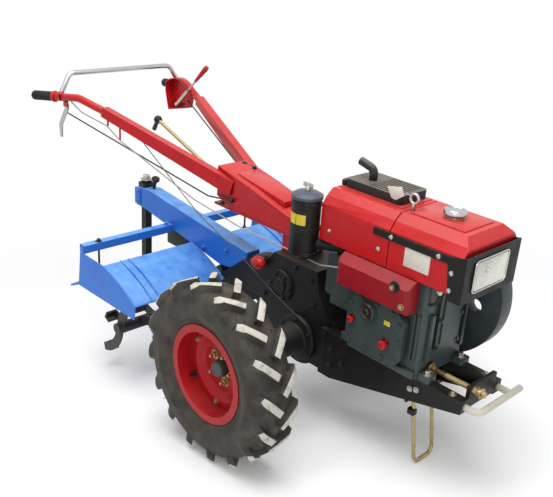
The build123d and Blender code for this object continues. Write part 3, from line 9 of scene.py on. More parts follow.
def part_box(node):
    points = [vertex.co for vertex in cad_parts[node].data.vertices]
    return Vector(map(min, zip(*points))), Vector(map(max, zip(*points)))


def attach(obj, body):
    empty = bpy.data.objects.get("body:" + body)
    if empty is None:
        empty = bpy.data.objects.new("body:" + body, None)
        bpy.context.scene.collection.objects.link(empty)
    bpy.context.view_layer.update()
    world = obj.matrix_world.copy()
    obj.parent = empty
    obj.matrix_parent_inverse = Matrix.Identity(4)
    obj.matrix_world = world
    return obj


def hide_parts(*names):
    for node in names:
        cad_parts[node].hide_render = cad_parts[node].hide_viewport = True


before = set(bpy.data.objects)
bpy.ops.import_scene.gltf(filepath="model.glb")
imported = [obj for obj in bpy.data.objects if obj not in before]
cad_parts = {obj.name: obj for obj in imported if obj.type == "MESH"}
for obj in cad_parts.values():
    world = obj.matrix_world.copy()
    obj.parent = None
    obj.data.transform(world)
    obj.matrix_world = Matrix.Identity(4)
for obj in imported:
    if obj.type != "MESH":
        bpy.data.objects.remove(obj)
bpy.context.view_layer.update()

# Main frame: two channel rails and a cross plate, bent from 6 mm steel sheet, welded together and
# sprayed black. Hexagon bolts hold the gearbox and the engine's cast feet to it.

# The tractor is drawn level, in millimetres, with its axle over x = 0 and z up from the ground. This
# matrix tips it nose-down about the axle, the way it parks on its front stand.
AXLE_HEIGHT = 320
NOSE_DOWN = 6
hub_low, hub_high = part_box("hub_right")
axle = (hub_low + hub_high) / 2
tractor = (
    Matrix.Translation((axle.x, 0, axle.z))
    @ Matrix.Rotation(math.radians(NOSE_DOWN), 4, "Y")
    @ Matrix.Scale(0.001, 4)
    @ Matrix.Translation((0, 0, -AXLE_HEIGHT))
)


def linear(colour):
    """The linear RGBA of an sRGB hex colour."""
    channels = [int(colour[at : at + 2], 16) / 255 for at in (1, 3, 5)]
    return [c / 12.92 if c <= 0.04045 else ((c + 0.055) / 1.055) ** 2.4 for c in channels] + [1.0]


def set_inputs(material, node, inputs):
    """Sets each input of a node to a value, or links it to a socket or to another node's first output."""
    for name, value in inputs.items():
        if isinstance(value, bpy.types.Node):
            value = value.outputs[0]
        if isinstance(value, bpy.types.NodeSocket):
            material.node_tree.links.new(value, node.inputs[name])
        else:
            node.inputs[name].default_value = value


def add_node(material, kind, inputs, **settings):
    """Adds a shader node to a material with its settings and inputs."""
    node = material.node_tree.nodes.new("ShaderNode" + kind)
    for name, value in settings.items():
        setattr(node, name, value)
    set_inputs(material, node, inputs)
    return node


def new_material(name, **constants):
    """A material, its shader with plain numbers and colours on its own sockets, and the coordinates of the
    surface that it covers."""
    material = bpy.data.materials.new(name)
    material.use_nodes = True
    shader = material.node_tree.nodes["Principled BSDF"]
    set_inputs(material, shader, {socket.replace("_", " "): value for socket, value in constants.items()})
    return material, shader, add_node(material, "TexCoord", {}).outputs


def sprayed_enamel(name, colour, shade, dust_and_top_light_colour, top_tint, gloss):
    """Enamel sprayed on sheet steel: a glossy skin with faint orange peel, a slightly cloudy tone, dust lying
    on what faces up that on the red and blue paints is a paler tint of the paint and so also a painted top
    light, painted shade in the corners, and the paint rubbed thin along the edges, pale enough to be a
    painted edge highlight too."""
    material, paint, where = new_material(
        name, Coat_Weight=0.06, Coat_Roughness=0.1, Specular_IOR_Level=0.24
    )
    spot = where["Object"]
    clouds = add_node(material, "TexNoise", {"Vector": spot, "Scale": 1000 / 160, "Detail": 5})
    cloudy = add_node(material, "MapRange", {
        "Value": clouds, "From Min": 0.35, "From Max": 0.75, "To Min": 0.0, "To Max": 0.55,
    })
    tone = add_node(material, "MixRGB", {"Fac": cloudy, "Color1": linear(colour), "Color2": linear(shade)})
    # Painted shade: corners within 30 mm, found by ambient occlusion, are darkened toward a near-black brown.
    hollow = add_node(material, "AmbientOcclusion", {"Distance": 0.03}, samples=6)
    corner_shade = add_node(material, "MapRange", {
        "Value": hollow.outputs["AO"], "From Min": 0.25, "From Max": 0.8, "To Min": 0.6, "To Max": 0.0,
    })
    corner_shaded = add_node(material, "MixRGB", {"Fac": corner_shade, "Color1": tone, "Color2": linear("#1c1512")})
    # Dust in patches of about 45 mm on surfaces that face up. On the red and blue paints its colour is a
    # paler tint of the paint, so there it is also a painted top light.
    up = add_node(material, "SeparateXYZ", {"Vector": where["Normal"]})
    level = add_node(material, "MapRange", {
        "Value": up.outputs["Z"], "From Min": 0.3, "From Max": 1.0, "To Min": 0.0, "To Max": top_tint,
    })
    patches = add_node(material, "TexNoise", {"Vector": spot, "Scale": 1000 / 45, "Detail": 8})
    patchy = add_node(material, "MapRange", {
        "Value": patches, "From Min": 0.3, "From Max": 0.7, "To Min": 0.35, "To Max": 1.0,
    })
    dust_and_top_light_mask = add_node(material, "Math", {0: level, 1: patchy}, operation="MULTIPLY")
    tinted_on_top = add_node(material, "MixRGB", {"Fac": dust_and_top_light_mask, "Color1": corner_shaded, "Color2": linear(dust_and_top_light_colour)})
    # Rubbed edges, pale grey as bare primer and also a painted edge highlight: where the surface turns within
    # 2 mm, broken up by chips about 8 mm long.
    rounded = add_node(material, "Bevel", {"Radius": 0.002}, samples=6)
    flat = add_node(material, "NewGeometry", {}).outputs["Normal"]
    turn = add_node(material, "VectorMath", {0: rounded, 1: flat}, operation="DOT_PRODUCT")
    edges = add_node(material, "MapRange", {
        "Value": turn.outputs["Value"], "From Min": 0.97, "From Max": 0.85, "To Min": 0.0, "To Max": 0.55,
    })
    chips = add_node(material, "TexNoise", {"Vector": spot, "Scale": 1000 / 8, "Detail": 3})
    chipped = add_node(material, "MapRange", {
        "Value": chips, "From Min": 0.45, "From Max": 0.62, "To Min": 0.0, "To Max": 1.0,
    })
    rubbed_and_highlit = add_node(material, "Math", {0: edges, 1: chipped}, operation="MULTIPLY")
    worn_and_highlit = add_node(material, "MixRGB", {"Fac": rubbed_and_highlit, "Color1": tinted_on_top, "Color2": linear("#b9aea6")})
    sheen = add_node(material, "MapRange", {
        "Value": patches, "From Min": 0.3, "From Max": 0.75, "To Min": gloss, "To Max": gloss + 0.2,
    })
    # Orange peel, drawn at 6 mm because its real 2 mm is too fine to show.
    peel = add_node(material, "TexNoise", {"Vector": spot, "Scale": 1000 / 6, "Detail": 2})
    skin = add_node(material, "Bump", {"Height": peel, "Strength": 0.06, "Distance": 0.001})
    set_inputs(material, paint, {"Base Color": worn_and_highlit, "Roughness": sheen, "Normal": skin})
    return material


def plated_steel(name, colour, tint, roughness):
    """Zinc plating on steel: a soft metal shine with cloudy tints from its chromate bath, and fine
    scuffs that change its roughness."""
    material, metal, where = new_material(name, Metallic=1.0)
    bath = add_node(material, "TexNoise", {"Vector": where["Object"], "Scale": 1000 / 14, "Detail": 6})
    tone = add_node(material, "MixRGB", {"Fac": bath, "Color1": linear(colour), "Color2": linear(tint)})
    scuffs = add_node(material, "TexNoise", {"Vector": where["Object"], "Scale": 1000 / 3, "Detail": 4})
    shine = add_node(material, "MapRange", {
        "Value": scuffs, "To Min": roughness - 0.1, "To Max": roughness + 0.15,
    })
    set_inputs(material, metal, {"Base Color": tone, "Roughness": shine})
    return material


def dress(material, edge, *names):
    """Gives CAD nodes their material and rounds their sharp edges, as wide as said in mm."""
    for name in names:
        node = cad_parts[name]
        for slot in node.material_slots:
            slot.material = material
        weld = node.modifiers.new("weld", "WELD")
        weld.merge_threshold = 0.00001
        rounding = node.modifiers.new("rounding", "BEVEL")
        rounding.width = edge / 1000
        rounding.segments = 2
        rounding.limit_method = "ANGLE"
        rounding.angle_limit = math.radians(34)
        rounding.harden_normals = True


def facing(point, direction):
    """The place at a point whose Z axis points in a direction."""
    return Matrix.Translation(point) @ Vector(direction).to_track_quat("Z", "Y").to_matrix().to_4x4()


def add_shape(bm, shape, place=Matrix()):
    """Adds a finished shape to a mesh, moved to a place."""
    mesh = bpy.data.meshes.new("shape")
    shape.to_mesh(mesh)
    shape.free()
    mesh.transform(place)
    bm.from_mesh(mesh)
    bpy.data.meshes.remove(mesh)


def round_edges(shape, edges, width, segments=2):
    """Rounds edges of a shape."""
    bmesh.ops.bevel(
        shape, geom=edges, offset=width, segments=segments, profile=0.5, affect="EDGES", material=-1
    )


def add_bolt(bm, place, across):
    """A hexagon bolt head on its washer, its size given across the flats."""
    shape = bmesh.new()
    washer = 2
    corner = across / 2 / math.cos(math.pi / 6)
    height = across * 0.62
    middle = washer + height / 2
    bmesh.ops.create_cone(
        shape, cap_ends=True, segments=6, radius1=corner, radius2=corner, depth=height,
        matrix=Matrix.Translation((0, 0, middle)),
    )
    round_edges(shape, [e for e in shape.edges if all(v.co.z > middle for v in e.verts)], across * 0.09, 1)
    bmesh.ops.create_cone(
        shape, cap_ends=True, segments=20, radius1=across * 0.95, radius2=across * 0.92, depth=washer,
        matrix=Matrix.Translation((0, 0, washer / 2)),
    )
    add_shape(bm, shape, place)


def finish_piece(bm, name, material, body="chassis", crease=32):
    """Tips a drawn mesh onto the parked tractor, and makes it a piece that rides on a body."""
    bmesh.ops.transform(bm, matrix=tractor, verts=bm.verts)
    bmesh.ops.recalc_face_normals(bm, faces=bm.faces)
    mesh = bpy.data.meshes.new(name)
    bm.to_mesh(mesh)
    bm.free()
    mesh.shade_smooth()
    mesh.set_sharp_from_angle(angle=math.radians(crease))
    mesh.materials.append(material)
    piece = bpy.data.objects.new(name, mesh)
    bpy.context.scene.collection.objects.link(piece)
    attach(piece, body)
    return piece


black_enamel = sprayed_enamel("black_enamel", "#121110", "#0b0a0a", "#5f574c", 0.12, 0.42)
bright_zinc = plated_steel("bright_zinc_plating", "#c9c8c2", "#a9a49a", 0.36)
yellow_zinc = plated_steel("yellow_zinc_plating", "#bfab7c", "#998760", 0.4)
dress(black_enamel, 2.0, "main_frame")

RAIL_SIDE, RAIL_TOP, RAIL_MIDDLE = 112, 415, 92
RAIL_BOLTS = ((519, 370), (543, 378))
NOSE_BOLT = 660
bm = bmesh.new()
for side in (-1, 1):
    for x, z in RAIL_BOLTS:
        add_bolt(bm, facing((x, side * RAIL_SIDE, z), (0, side, 0)), 11)
    add_bolt(bm, facing((NOSE_BOLT, side * RAIL_MIDDLE, RAIL_TOP), (0, 0, 1)), 13)
finish_piece(bm, "frame_bolts", bright_zinc)

# Belt-tension rod, bumper and front stand: round bar and tube cut, bent and plated or painted. The rod
# draws the engine forward through the cross plate, and the stand swings on a pin between the rails.
silver_paint = sprayed_enamel("silver_enamel", "#d6d0c2", "#b4ab98", "#c9c2b2", 0.3, 0.4)
dress(yellow_zinc, 1.0, "tension_rod", "front_stand")
dress(silver_paint, 1.0, "front_bumper")


def add_lathe(bm, profile, place, steps):
    """A turned shape: (radius, height) points spun about the Z axis of a place."""
    shape = bmesh.new()
    points = [shape.verts.new((radius, 0, height)) for radius, height in profile]
    edges = [shape.edges.new(pair) for pair in zip(points, points[1:])]
    bmesh.ops.spin(
        shape, geom=points + edges, cent=(0, 0, 0), axis=(0, 0, 1), angle=math.tau, steps=steps,
        use_merge=True,
    )
    bmesh.ops.remove_doubles(shape, verts=shape.verts, dist=0.001)
    add_shape(bm, shape, place)


ROD_Y, ROD_Z, ROD_NUTS = -53, 440, (733, 548)
bm = bmesh.new()
for x in ROD_NUTS:
    add_bolt(bm, facing((x, ROD_Y, ROD_Z), (1, 0, 0)), 19)
# The thread shows as ridges along the rod, drawn at a pitch of 4 mm so that they show.
THREAD_START, THREAD_TURNS, THREAD_PITCH = 604, 24, 4
THREAD_ROOT, THREAD_CREST = 8.0, 9.0
ridges = [(THREAD_ROOT, 0)]
for turn in range(THREAD_TURNS):
    ridges += [(THREAD_CREST, (turn + 0.5) * THREAD_PITCH), (THREAD_ROOT, (turn + 1) * THREAD_PITCH)]
add_lathe(bm, ridges, facing((THREAD_START, ROD_Y, ROD_Z), (1, 0, 0)), 20)
finish_piece(bm, "tension_rod_nuts", yellow_zinc)

STAND_X, STAND_Z, STAND_PIN_END = 490, 352, 60
bm = bmesh.new()
for side in (-1, 1):
    end = facing((STAND_X, side * STAND_PIN_END, STAND_Z), (0, side, 0))
    add_lathe(bm, ((0, 5), (6, 5), (7, 4), (7, 0), (13, 0), (13, -2), (0, -2)), end, 20)
finish_piece(bm, "stand_pin_caps", yellow_zinc, "stand")


def moulded_plastic(name, colour, roughness):
    """Injection-moulded plastic: an even colour with a fine matt spark-eroded grain and soft scuffs."""
    material, plastic, where = new_material(name, Specular_IOR_Level=0.35)
    scuffs = add_node(material, "TexNoise", {"Vector": where["Object"], "Scale": 1000 / 20, "Detail": 6})
    base = linear(colour)
    scuffed = [c * 0.72 for c in base[:3]] + [1.0]
    tone = add_node(material, "MixRGB", {"Fac": scuffs, "Color1": base, "Color2": scuffed})
    rough = add_node(material, "MapRange", {
        "Value": scuffs, "To Min": roughness - 0.1, "To Max": roughness + 0.1,
    })
    grain = add_node(material, "TexVoronoi", {"Vector": where["Object"], "Scale": 1000 / 2})
    skin = add_node(material, "Bump", {"Height": grain, "Strength": 0.1, "Distance": 0.0005})
    set_inputs(material, plastic, {"Base Color": tone, "Roughness": rough, "Normal": skin})
    return material


def add_block(bm, low, high, edge, place=Matrix()):
    """A block between two corners with its edges rounded."""
    shape = bmesh.new()
    bmesh.ops.create_cube(shape, size=1)
    bmesh.ops.scale(shape, vec=Vector(high) - Vector(low), verts=shape.verts)
    bmesh.ops.translate(shape, vec=(Vector(low) + Vector(high)) / 2, verts=shape.verts)
    round_edges(shape, shape.edges[:], edge)
    add_shape(bm, shape, place)


def block_piece(name, low, high, edge, material, body="chassis"):
    """A plate, lid or clip that is one rounded block, as a piece."""
    bm = bmesh.new()
    add_block(bm, low, high, edge)
    finish_piece(bm, name, material, body)


# A rubber clip on the stand's right leg keeps it from rattling when it is swung up.
black_plastic = moulded_plastic("black_moulded_plastic", "#161617", 0.42)
block_piece("stand_rubber_clip", (488, -64, 239), (516, -42, 262), 4, black_plastic, "stand")

# Gearbox and axle housings: iron castings bolted together, painted a thin dull black that shows the
# sand mould's grain. A screwed bearing cover and a red knob are on the right side.


def cast_iron(name, colour, shade, top_tint, roughness):
    """Sand-cast iron under one thin coat: a pebbly skin of 3 mm grain, dull, with dust on its ledges and
    painted shade in its corners.
    """
    material, coat, where = new_material(name, Specular_IOR_Level=0.3)
    clouds = add_node(material, "TexNoise", {"Vector": where["Object"], "Scale": 1000 / 70, "Detail": 6})
    tone = add_node(material, "MixRGB", {"Fac": clouds, "Color1": linear(colour), "Color2": linear(shade)})
    # Painted shade: corners within 40 mm, found by ambient occlusion, are darkened toward near-black.
    hollow = add_node(material, "AmbientOcclusion", {"Distance": 0.04}, samples=6)
    corner_shade = add_node(material, "MapRange", {
        "Value": hollow.outputs["AO"], "From Min": 0.2, "From Max": 0.85, "To Min": 0.75, "To Max": 0.0,
    })
    corner_shaded = add_node(material, "MixRGB", {"Fac": corner_shade, "Color1": tone, "Color2": linear("#0d0c0b")})
    up = add_node(material, "SeparateXYZ", {"Vector": where["Normal"]})
    ledge = add_node(material, "MapRange", {
        "Value": up.outputs["Z"], "From Min": 0.4, "From Max": 1.0, "To Min": 0.0, "To Max": top_tint,
    })
    tinted_on_top = add_node(material, "MixRGB", {"Fac": ledge, "Color1": corner_shaded, "Color2": linear("#8d8578")})
    grain = add_node(material, "TexNoise", {"Vector": where["Object"], "Scale": 1000 / 3, "Detail": 5})
    dull = add_node(material, "MapRange", {
        "Value": grain, "To Min": roughness - 0.12, "To Max": roughness + 0.12,
    })
    skin = add_node(material, "Bump", {"Height": grain, "Strength": 0.25, "Distance": 0.001})
    set_inputs(material, coat, {"Base Color": tinted_on_top, "Roughness": dull, "Normal": skin})
    return material


def around(place, turn, radius, height=0):
    """A place turned about its Z axis, then moved out by a radius and up by a height."""
    return place @ Matrix.Rotation(turn, 4, "Z") @ Matrix.Translation((radius, 0, height))


black_iron = cast_iron("black_cast_iron", "#191919", "#101011", 0.12, 0.55)
dress(black_iron, 4.0, "gearbox", "axle_housing_right", "axle_housing_left")

BOX_SIDE = 95
BOX_BOLTS = ((-190, 420), (-190, 560), (-40, 580), (40, 560), (60, 470))
FOOT_BOLTS = ((176, 350), (176, 286), (228, 318))
FLANGE_FACE, FLANGE_CIRCLE = 111, 74
bm = bmesh.new()
for side in (-1, 1):
    for x, z in FOOT_BOLTS:
        add_bolt(bm, facing((x, side * RAIL_SIDE, z), (0, side, 0)), 15)
    for turn in range(6):
        angle = math.radians(30 + 60 * turn)
        at = (
            FLANGE_CIRCLE * math.cos(angle), side * FLANGE_FACE, AXLE_HEIGHT + FLANGE_CIRCLE * math.sin(angle)
        )
        add_bolt(bm, facing(at, (0, side, 0)), 14)
# The right side's shaft cover has a ring of screws.
COVER_X, COVER_Z, COVER_DEPTH, COVER_CIRCLE = -105, 486, 11, 46
cover_place = facing((COVER_X, -BOX_SIDE - COVER_DEPTH, COVER_Z), (0, -1, 0))
for turn in range(6):
    add_bolt(bm, around(cover_place, math.tau * turn / 6, COVER_CIRCLE), 11)
for x, z in BOX_BOLTS:
    for side in (-1, 1):
        add_bolt(bm, facing((x, side * BOX_SIDE, z), (0, side, 0)), 13)
finish_piece(bm, "gearbox_bolts", black_iron)



def egg(radius, half, middle=0):
    """The profile of a turned egg or ball about a middle height, from its lower end up."""
    angles = [math.radians(turn) for turn in range(0, 181, 15)]
    return [(radius * math.sin(angle), middle - half * math.cos(angle)) for angle in angles]


red_plastic = moulded_plastic("red_moulded_plastic", "#c01a1c", 0.35)
KNOB_X, KNOB_Y, KNOB_Z = -205, -124, 546
KNOB_RADIUS, KNOB_HALF = 25, 33
knob_stem = ((0, 30), (8, 30), (9, 28), (9, 0), (0, 0))
bm = bmesh.new()
add_lathe(bm, egg(KNOB_RADIUS, KNOB_HALF), facing((KNOB_X, KNOB_Y, KNOB_Z), (1, -0.15, 0.15)), 32)
add_lathe(bm, knob_stem, facing((KNOB_X, -BOX_SIDE, KNOB_Z), (0, -1, 0)), 20)
finish_piece(bm, "gearbox_knob", red_plastic)

# Wheels: a steel rim rolled and welded round a pressed, deeply dished disc, sprayed red, with five
# studs and nuts on a machined hub. The tyre is moulded rubber with chevron lugs, dusty on top.
# The pinkish tan that the rim enamel lays on upward faces is dust and also a painted top light.
red_rim = sprayed_enamel("red_rim_enamel", "#b01117", "#860c11", "#b98479", 0.1, 0.3)
hub_iron = cast_iron("machined_hub_iron", "#4d5354", "#33383a", 0.1, 0.4)
dress(red_rim, 1.5, "rim_right", "rim_left")
dress(hub_iron, 1.5, "hub_right", "hub_left")

tyre_rubber, rubber, where = new_material("moulded_tyre_rubber", Specular_IOR_Level=0.3)
spot = where["Object"]
# The lugs' tops carry pale dried soil: what lies over 296 mm out from the axle line and faces outward.
round_axle = add_node(tyre_rubber, "Mapping", {
    "Vector": spot, "Location": (-axle.x, 0, -axle.z), "Scale": (1, 0, 1),
})
reach = add_node(tyre_rubber, "VectorMath", {0: round_axle}, operation="LENGTH")
far_out = add_node(tyre_rubber, "MapRange", {
    "Value": reach.outputs["Value"], "From Min": 0.296, "From Max": 0.3, "To Min": 0.0, "To Max": 1.0,
})
spoke = add_node(tyre_rubber, "VectorMath", {0: round_axle}, operation="NORMALIZE")
faces_out = add_node(tyre_rubber, "VectorMath", {0: spoke, 1: where["Normal"]}, operation="DOT_PRODUCT")
turned_out = add_node(tyre_rubber, "MapRange", {
    "Value": faces_out.outputs["Value"], "From Min": 0.4, "From Max": 0.6, "To Min": 0.0, "To Max": 1.0,
})
top = add_node(tyre_rubber, "Math", {0: far_out, 1: turned_out}, operation="MULTIPLY")
soil = add_node(tyre_rubber, "TexNoise", {"Vector": spot, "Scale": 1000 / 22, "Detail": 8})
crumbs = add_node(tyre_rubber, "MapRange", {
    "Value": soil, "From Min": 0.33, "From Max": 0.5, "To Min": 0.55, "To Max": 1.0,
})
caked = add_node(tyre_rubber, "Math", {0: top, 1: crumbs}, operation="MULTIPLY")
smears = add_node(tyre_rubber, "TexNoise", {"Vector": spot, "Scale": 1000 / 60, "Detail": 6})
smeared = add_node(tyre_rubber, "MapRange", {
    "Value": smears, "From Min": 0.35, "From Max": 0.7, "To Min": 0.1, "To Max": 0.85,
})
dull_black = add_node(tyre_rubber, "MixRGB", {
    "Fac": smeared, "Color1": linear("#232120"), "Color2": linear("#57524a"),
})
earthy = add_node(tyre_rubber, "MixRGB", {
    "Fac": caked, "Color1": dull_black, "Color2": linear("#cbc7bc"),
})
matt = add_node(tyre_rubber, "MapRange", {"Value": smears, "To Min": 0.5, "To Max": 0.85})
mould = add_node(tyre_rubber, "TexNoise", {"Vector": spot, "Scale": 1000 / 4, "Detail": 5})
skin = add_node(tyre_rubber, "Bump", {"Height": mould, "Strength": 0.3, "Distance": 0.001})
set_inputs(tyre_rubber, rubber, {"Base Color": earthy, "Roughness": matt, "Normal": skin})

HALF_TRACK = 470
TYRE_RADIUS, TYRE_HALF, CARCASS_RADIUS = 320, 82.5, 294.6
# Half of the carcass, from the bead at the rim out over the sidewall's rings to the crown, as radius
# and distance from the tyre's middle.
SIDEWALL = (
    (153, 57), (177, 57.4), (181, 62), (186, 64), (190, 63), (196, 69), (212, 77), (222, 80), (226, 82.3),
    (234, 82.3), (238, 80.5), (252, 80), (262, 77.5), (272, 75), (280, 70), (287, 62), (292, 50), (294, 30),
)
LUG_COUNT, LUG_LENGTH, LUG_WIDTH, LUG_DEPTH, LUG_MID = 16, 104, 27, 40, 42
LUG_ANGLE = math.radians(45)
LUG_BEND, LUG_ROUNDING = 305, 3.5
LUG_REACH = TYRE_HALF - 3
# Past these distances from the middle, a lug's top and root fall away to the shoulder.
CROWN_RADIUS, CROWN_FLAT, CROWN_FALL = TYRE_RADIUS - 0.4, 64, 1.35
ROOT_RADIUS, ROOT_FLAT, ROOT_FALL = 288, 52, 1.1


def add_lug(bm, row, index, middle):
    """One chevron lug: a block drawn flat, tapered and rounded, then wrapped round the carcass."""
    shape = bmesh.new()
    bmesh.ops.create_cube(shape, size=1, matrix=Matrix.Translation((0, 0, 0.5)))
    long_edges = [e for e in shape.edges if abs(e.verts[0].co.x - e.verts[1].co.x) > 0.5]
    bmesh.ops.subdivide_edges(shape, edges=long_edges, cuts=5, use_grid_fill=True)
    for v in shape.verts:
        taper = 0.84 if v.co.z > 0.5 else 1.12
        v.co = (v.co.x * LUG_LENGTH, v.co.y * LUG_WIDTH * taper, v.co.z * LUG_DEPTH)
    shape.normal_update()
    creases = [e for e in shape.edges if e.calc_face_angle() > 0.6]
    top_rim = [e for e in creases if all(v.co.z > LUG_DEPTH - 1 for v in e.verts)]
    round_edges(shape, top_rim, LUG_ROUNDING)
    for v in shape.verts:
        along, across, high = v.co
        round_by = along * math.cos(LUG_ANGLE) + row * across * math.sin(LUG_ANGLE)
        out = row * LUG_MID - row * along * math.sin(LUG_ANGLE) + across * math.cos(LUG_ANGLE)
        out = max(-LUG_REACH, min(LUG_REACH, out))
        crown = CROWN_RADIUS - max(0, abs(out) - CROWN_FLAT) * CROWN_FALL
        root = ROOT_RADIUS - max(0, abs(out) - ROOT_FLAT) * ROOT_FALL
        radius = root + (crown - root) * high / LUG_DEPTH
        angle = round_by / LUG_BEND
        v.co = (radius * math.sin(angle), out, radius * math.cos(angle))
    # The two rows stand half a pitch apart.
    turn = (index + 0.25 * row) * math.tau / LUG_COUNT
    add_shape(bm, shape, middle @ Matrix.Rotation(turn, 4, "Y"))


HAIRS, HAIR_FOOT, HAIR_FLAT, HAIR_FALL = 190, 293, 50, 0.75
DISC_FACE = HALF_TRACK - 20
STUD_CIRCLE, RIM_BOLT_CIRCLE, VALVE_CIRCLE, RIM_STEP = 52, 128, 136, 22
RIM_BOLT_TURNS, VALVE_TURN = (0.5, 2.6, 4.7), 3.7
stud_end = ((0, 24), (5, 24), (6, 22), (6, 10), (0, 10))
valve_stem = ((0, 30), (3, 30), (4, 28), (4, 14), (6, 12), (7, 4), (9, 0), (0, 0))
chance = random.Random(7)
for name, side in (("right", -1), ("left", 1)):
    body = f"wheel_{name}"
    middle = Matrix.Translation((0, side * HALF_TRACK, AXLE_HEIGHT))

    bm = bmesh.new()
    inner = [(radius, -out) for radius, out in SIDEWALL]
    outer = [(radius, out) for radius, out in reversed(SIDEWALL)]
    carcass = inner + [(CARCASS_RADIUS, 0)] + outer + inner[:1]
    add_lathe(bm, carcass, facing((0, side * HALF_TRACK, AXLE_HEIGHT), (0, 1, 0)), 112)
    for row in (-1, 1):
        for index in range(LUG_COUNT):
            add_lug(bm, row, index, middle)
    # Rubber hairs that the mould's vents leave on the crown and the shoulders.
    for _ in range(HAIRS):
        turn = Matrix.Rotation(chance.uniform(0, math.tau), 4, "Y")
        out = chance.choice((-1, 1)) * chance.uniform(30, 77)
        lean = Matrix.Rotation(chance.uniform(-0.5, 0.5), 4, "Y")
        foot = HAIR_FOOT - max(0, abs(out) - HAIR_FLAT) * HAIR_FALL
        place = turn @ Matrix.Translation((0, out, foot)) @ lean
        long = chance.uniform(10, 26)
        bmesh.ops.create_cone(
            bm, cap_ends=True, segments=5, radius1=1.1, radius2=0.7, depth=long,
            matrix=middle @ place @ Matrix.Translation((0, 0, long / 2 - 2)),
        )
    tyre = finish_piece(bm, f"lugged_tyre_{name}", tyre_rubber, body, crease=40)
    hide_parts(f"tyre_{name}")

    bm = bmesh.new()
    disc = facing((0, side * DISC_FACE, AXLE_HEIGHT), (0, side, 0))
    # The studs stand in the rim's five holes, the first of them straight ahead of the axle.
    ahead = 0 if side < 0 else math.pi
    for stud in range(5):
        place = around(disc, ahead + math.tau * stud / 5, STUD_CIRCLE)
        add_bolt(bm, place, 19)
        add_lathe(bm, stud_end, place, 16)
    for turn in RIM_BOLT_TURNS:
        add_bolt(bm, around(disc, turn, RIM_BOLT_CIRCLE, RIM_STEP), 12)
    finish_piece(bm, f"wheel_nuts_{name}", yellow_zinc, body)

    bm = bmesh.new()
    add_lathe(bm, valve_stem, around(disc, VALVE_TURN, VALVE_CIRCLE, RIM_STEP), 16)
    finish_piece(bm, f"tyre_valve_{name}", black_plastic, body)

# Engine: a horizontal single-cylinder block and head cast in iron and painted slate grey, with ribbed
# walls, a bolted gear cover on its right and four feet bolted down on the rails.
grey_iron = cast_iron("slate_painted_iron", "#485554", "#344040", 0.16, 0.38)
dress(grey_iron, 4.0, "engine_block", "cylinder_head")
dress(grey_iron, 3.0, "gear_cover")

FOOT_TOP = RAIL_TOP + 22
bm = bmesh.new()
for x in (560, 235):
    for side in (-1, 1):
        add_bolt(bm, facing((x, side * RAIL_MIDDLE, FOOT_TOP), (0, 0, 1)), 17)
finish_piece(bm, "engine_foot_bolts", bright_zinc)

# Screws round the crankcase door and the gear cover, painted over with the castings.
DOOR_FACE, GEAR_FACE = 551, -151
GEAR_COVER_SCREWS = (
    (282, 456), (350, 453), (420, 453), (470, 466), (478, 530), (474, 590), (444, 622),
    (380, 625), (316, 625), (277, 594), (276, 520),
)
bm = bmesh.new()
for y in (-49, 57):
    for z in (512, 608, 704):
        add_bolt(bm, facing((DOOR_FACE, y, z), (1, 0, 0)), 11)
for x, z in GEAR_COVER_SCREWS:
    add_bolt(bm, facing((x, GEAR_FACE, z), (0, -1, 0)), 10)
# The sump's ledge stands out along the bottom of the right wall.
add_block(bm, (262, -136, RAIL_TOP + 2), (536, -116, RAIL_TOP + 24), 6)
finish_piece(bm, "engine_screws_and_ledge", grey_iron)

plug = ((0, 22), (10, 22), (14, 19), (15, 14), (13, 10), (9, 8), (9, 0), (16, 0), (16, -2), (0, -2))
bm = bmesh.new()
add_lathe(bm, plug, facing((428, GEAR_FACE, 506), (0, -1, 0)), 28)
add_lathe(bm, plug, facing((286, GEAR_FACE, 536), (0, -1, 0)) @ Matrix.Scale(0.8, 4), 28)
finish_piece(bm, "oil_plugs", red_plastic)


def turned_piece(name, profile, place, steps, material):
    """A knob, boss or shade that is one turned shape, as a piece."""
    bm = bmesh.new()
    add_lathe(bm, profile, place, steps)
    finish_piece(bm, name, material)


# The boss that takes the starting handle.
dark_steel = plated_steel("blackened_steel", "#5d5a56", "#35322f", 0.42)
boss = ((0, 6), (9, 6), (11, 4), (11, 1), (19, 1), (21, 3), (25, 3), (27, 0), (27, -8), (0, -8))
turned_piece("starter_boss", boss, facing((354, -169, 592), (0, -1, 0)), 40, dark_steel)


def patchy_finish(name, patch, detail, colour, tint, smooth, rough, **constants):
    """A finish whose colour and roughness drift together in soft patches, their size given in mm."""
    material, shader, where = new_material(name, **constants)
    patches = add_node(material, "TexNoise", {
        "Vector": where["Object"], "Scale": 1000 / patch, "Detail": detail,
    })
    tone = add_node(material, "MixRGB", {"Fac": patches, "Color1": colour, "Color2": tint})
    wiped = add_node(material, "MapRange", {"Value": patches, "To Min": smooth, "To Max": rough})
    set_inputs(material, shader, {"Base Color": tone, "Roughness": wiped})
    return material


def printed_film(name, colour):
    """Printed vinyl film: smooth, slightly yellowed in patches of 18 mm, with dull scuffs."""
    fresh = linear(colour)
    aged = [channel * fade for channel, fade in zip(fresh, (0.8, 0.76, 0.68, 1))]
    return patchy_finish(name, 18, 6, fresh, aged, 0.3, 0.55)


yellow_film = printed_film("yellow_film", "#e3d03a")
block_piece(
    "blank_yellow_label", (414, GEAR_FACE - 0.8, 568), (438, GEAR_FACE, 584), 0.3, yellow_film
)

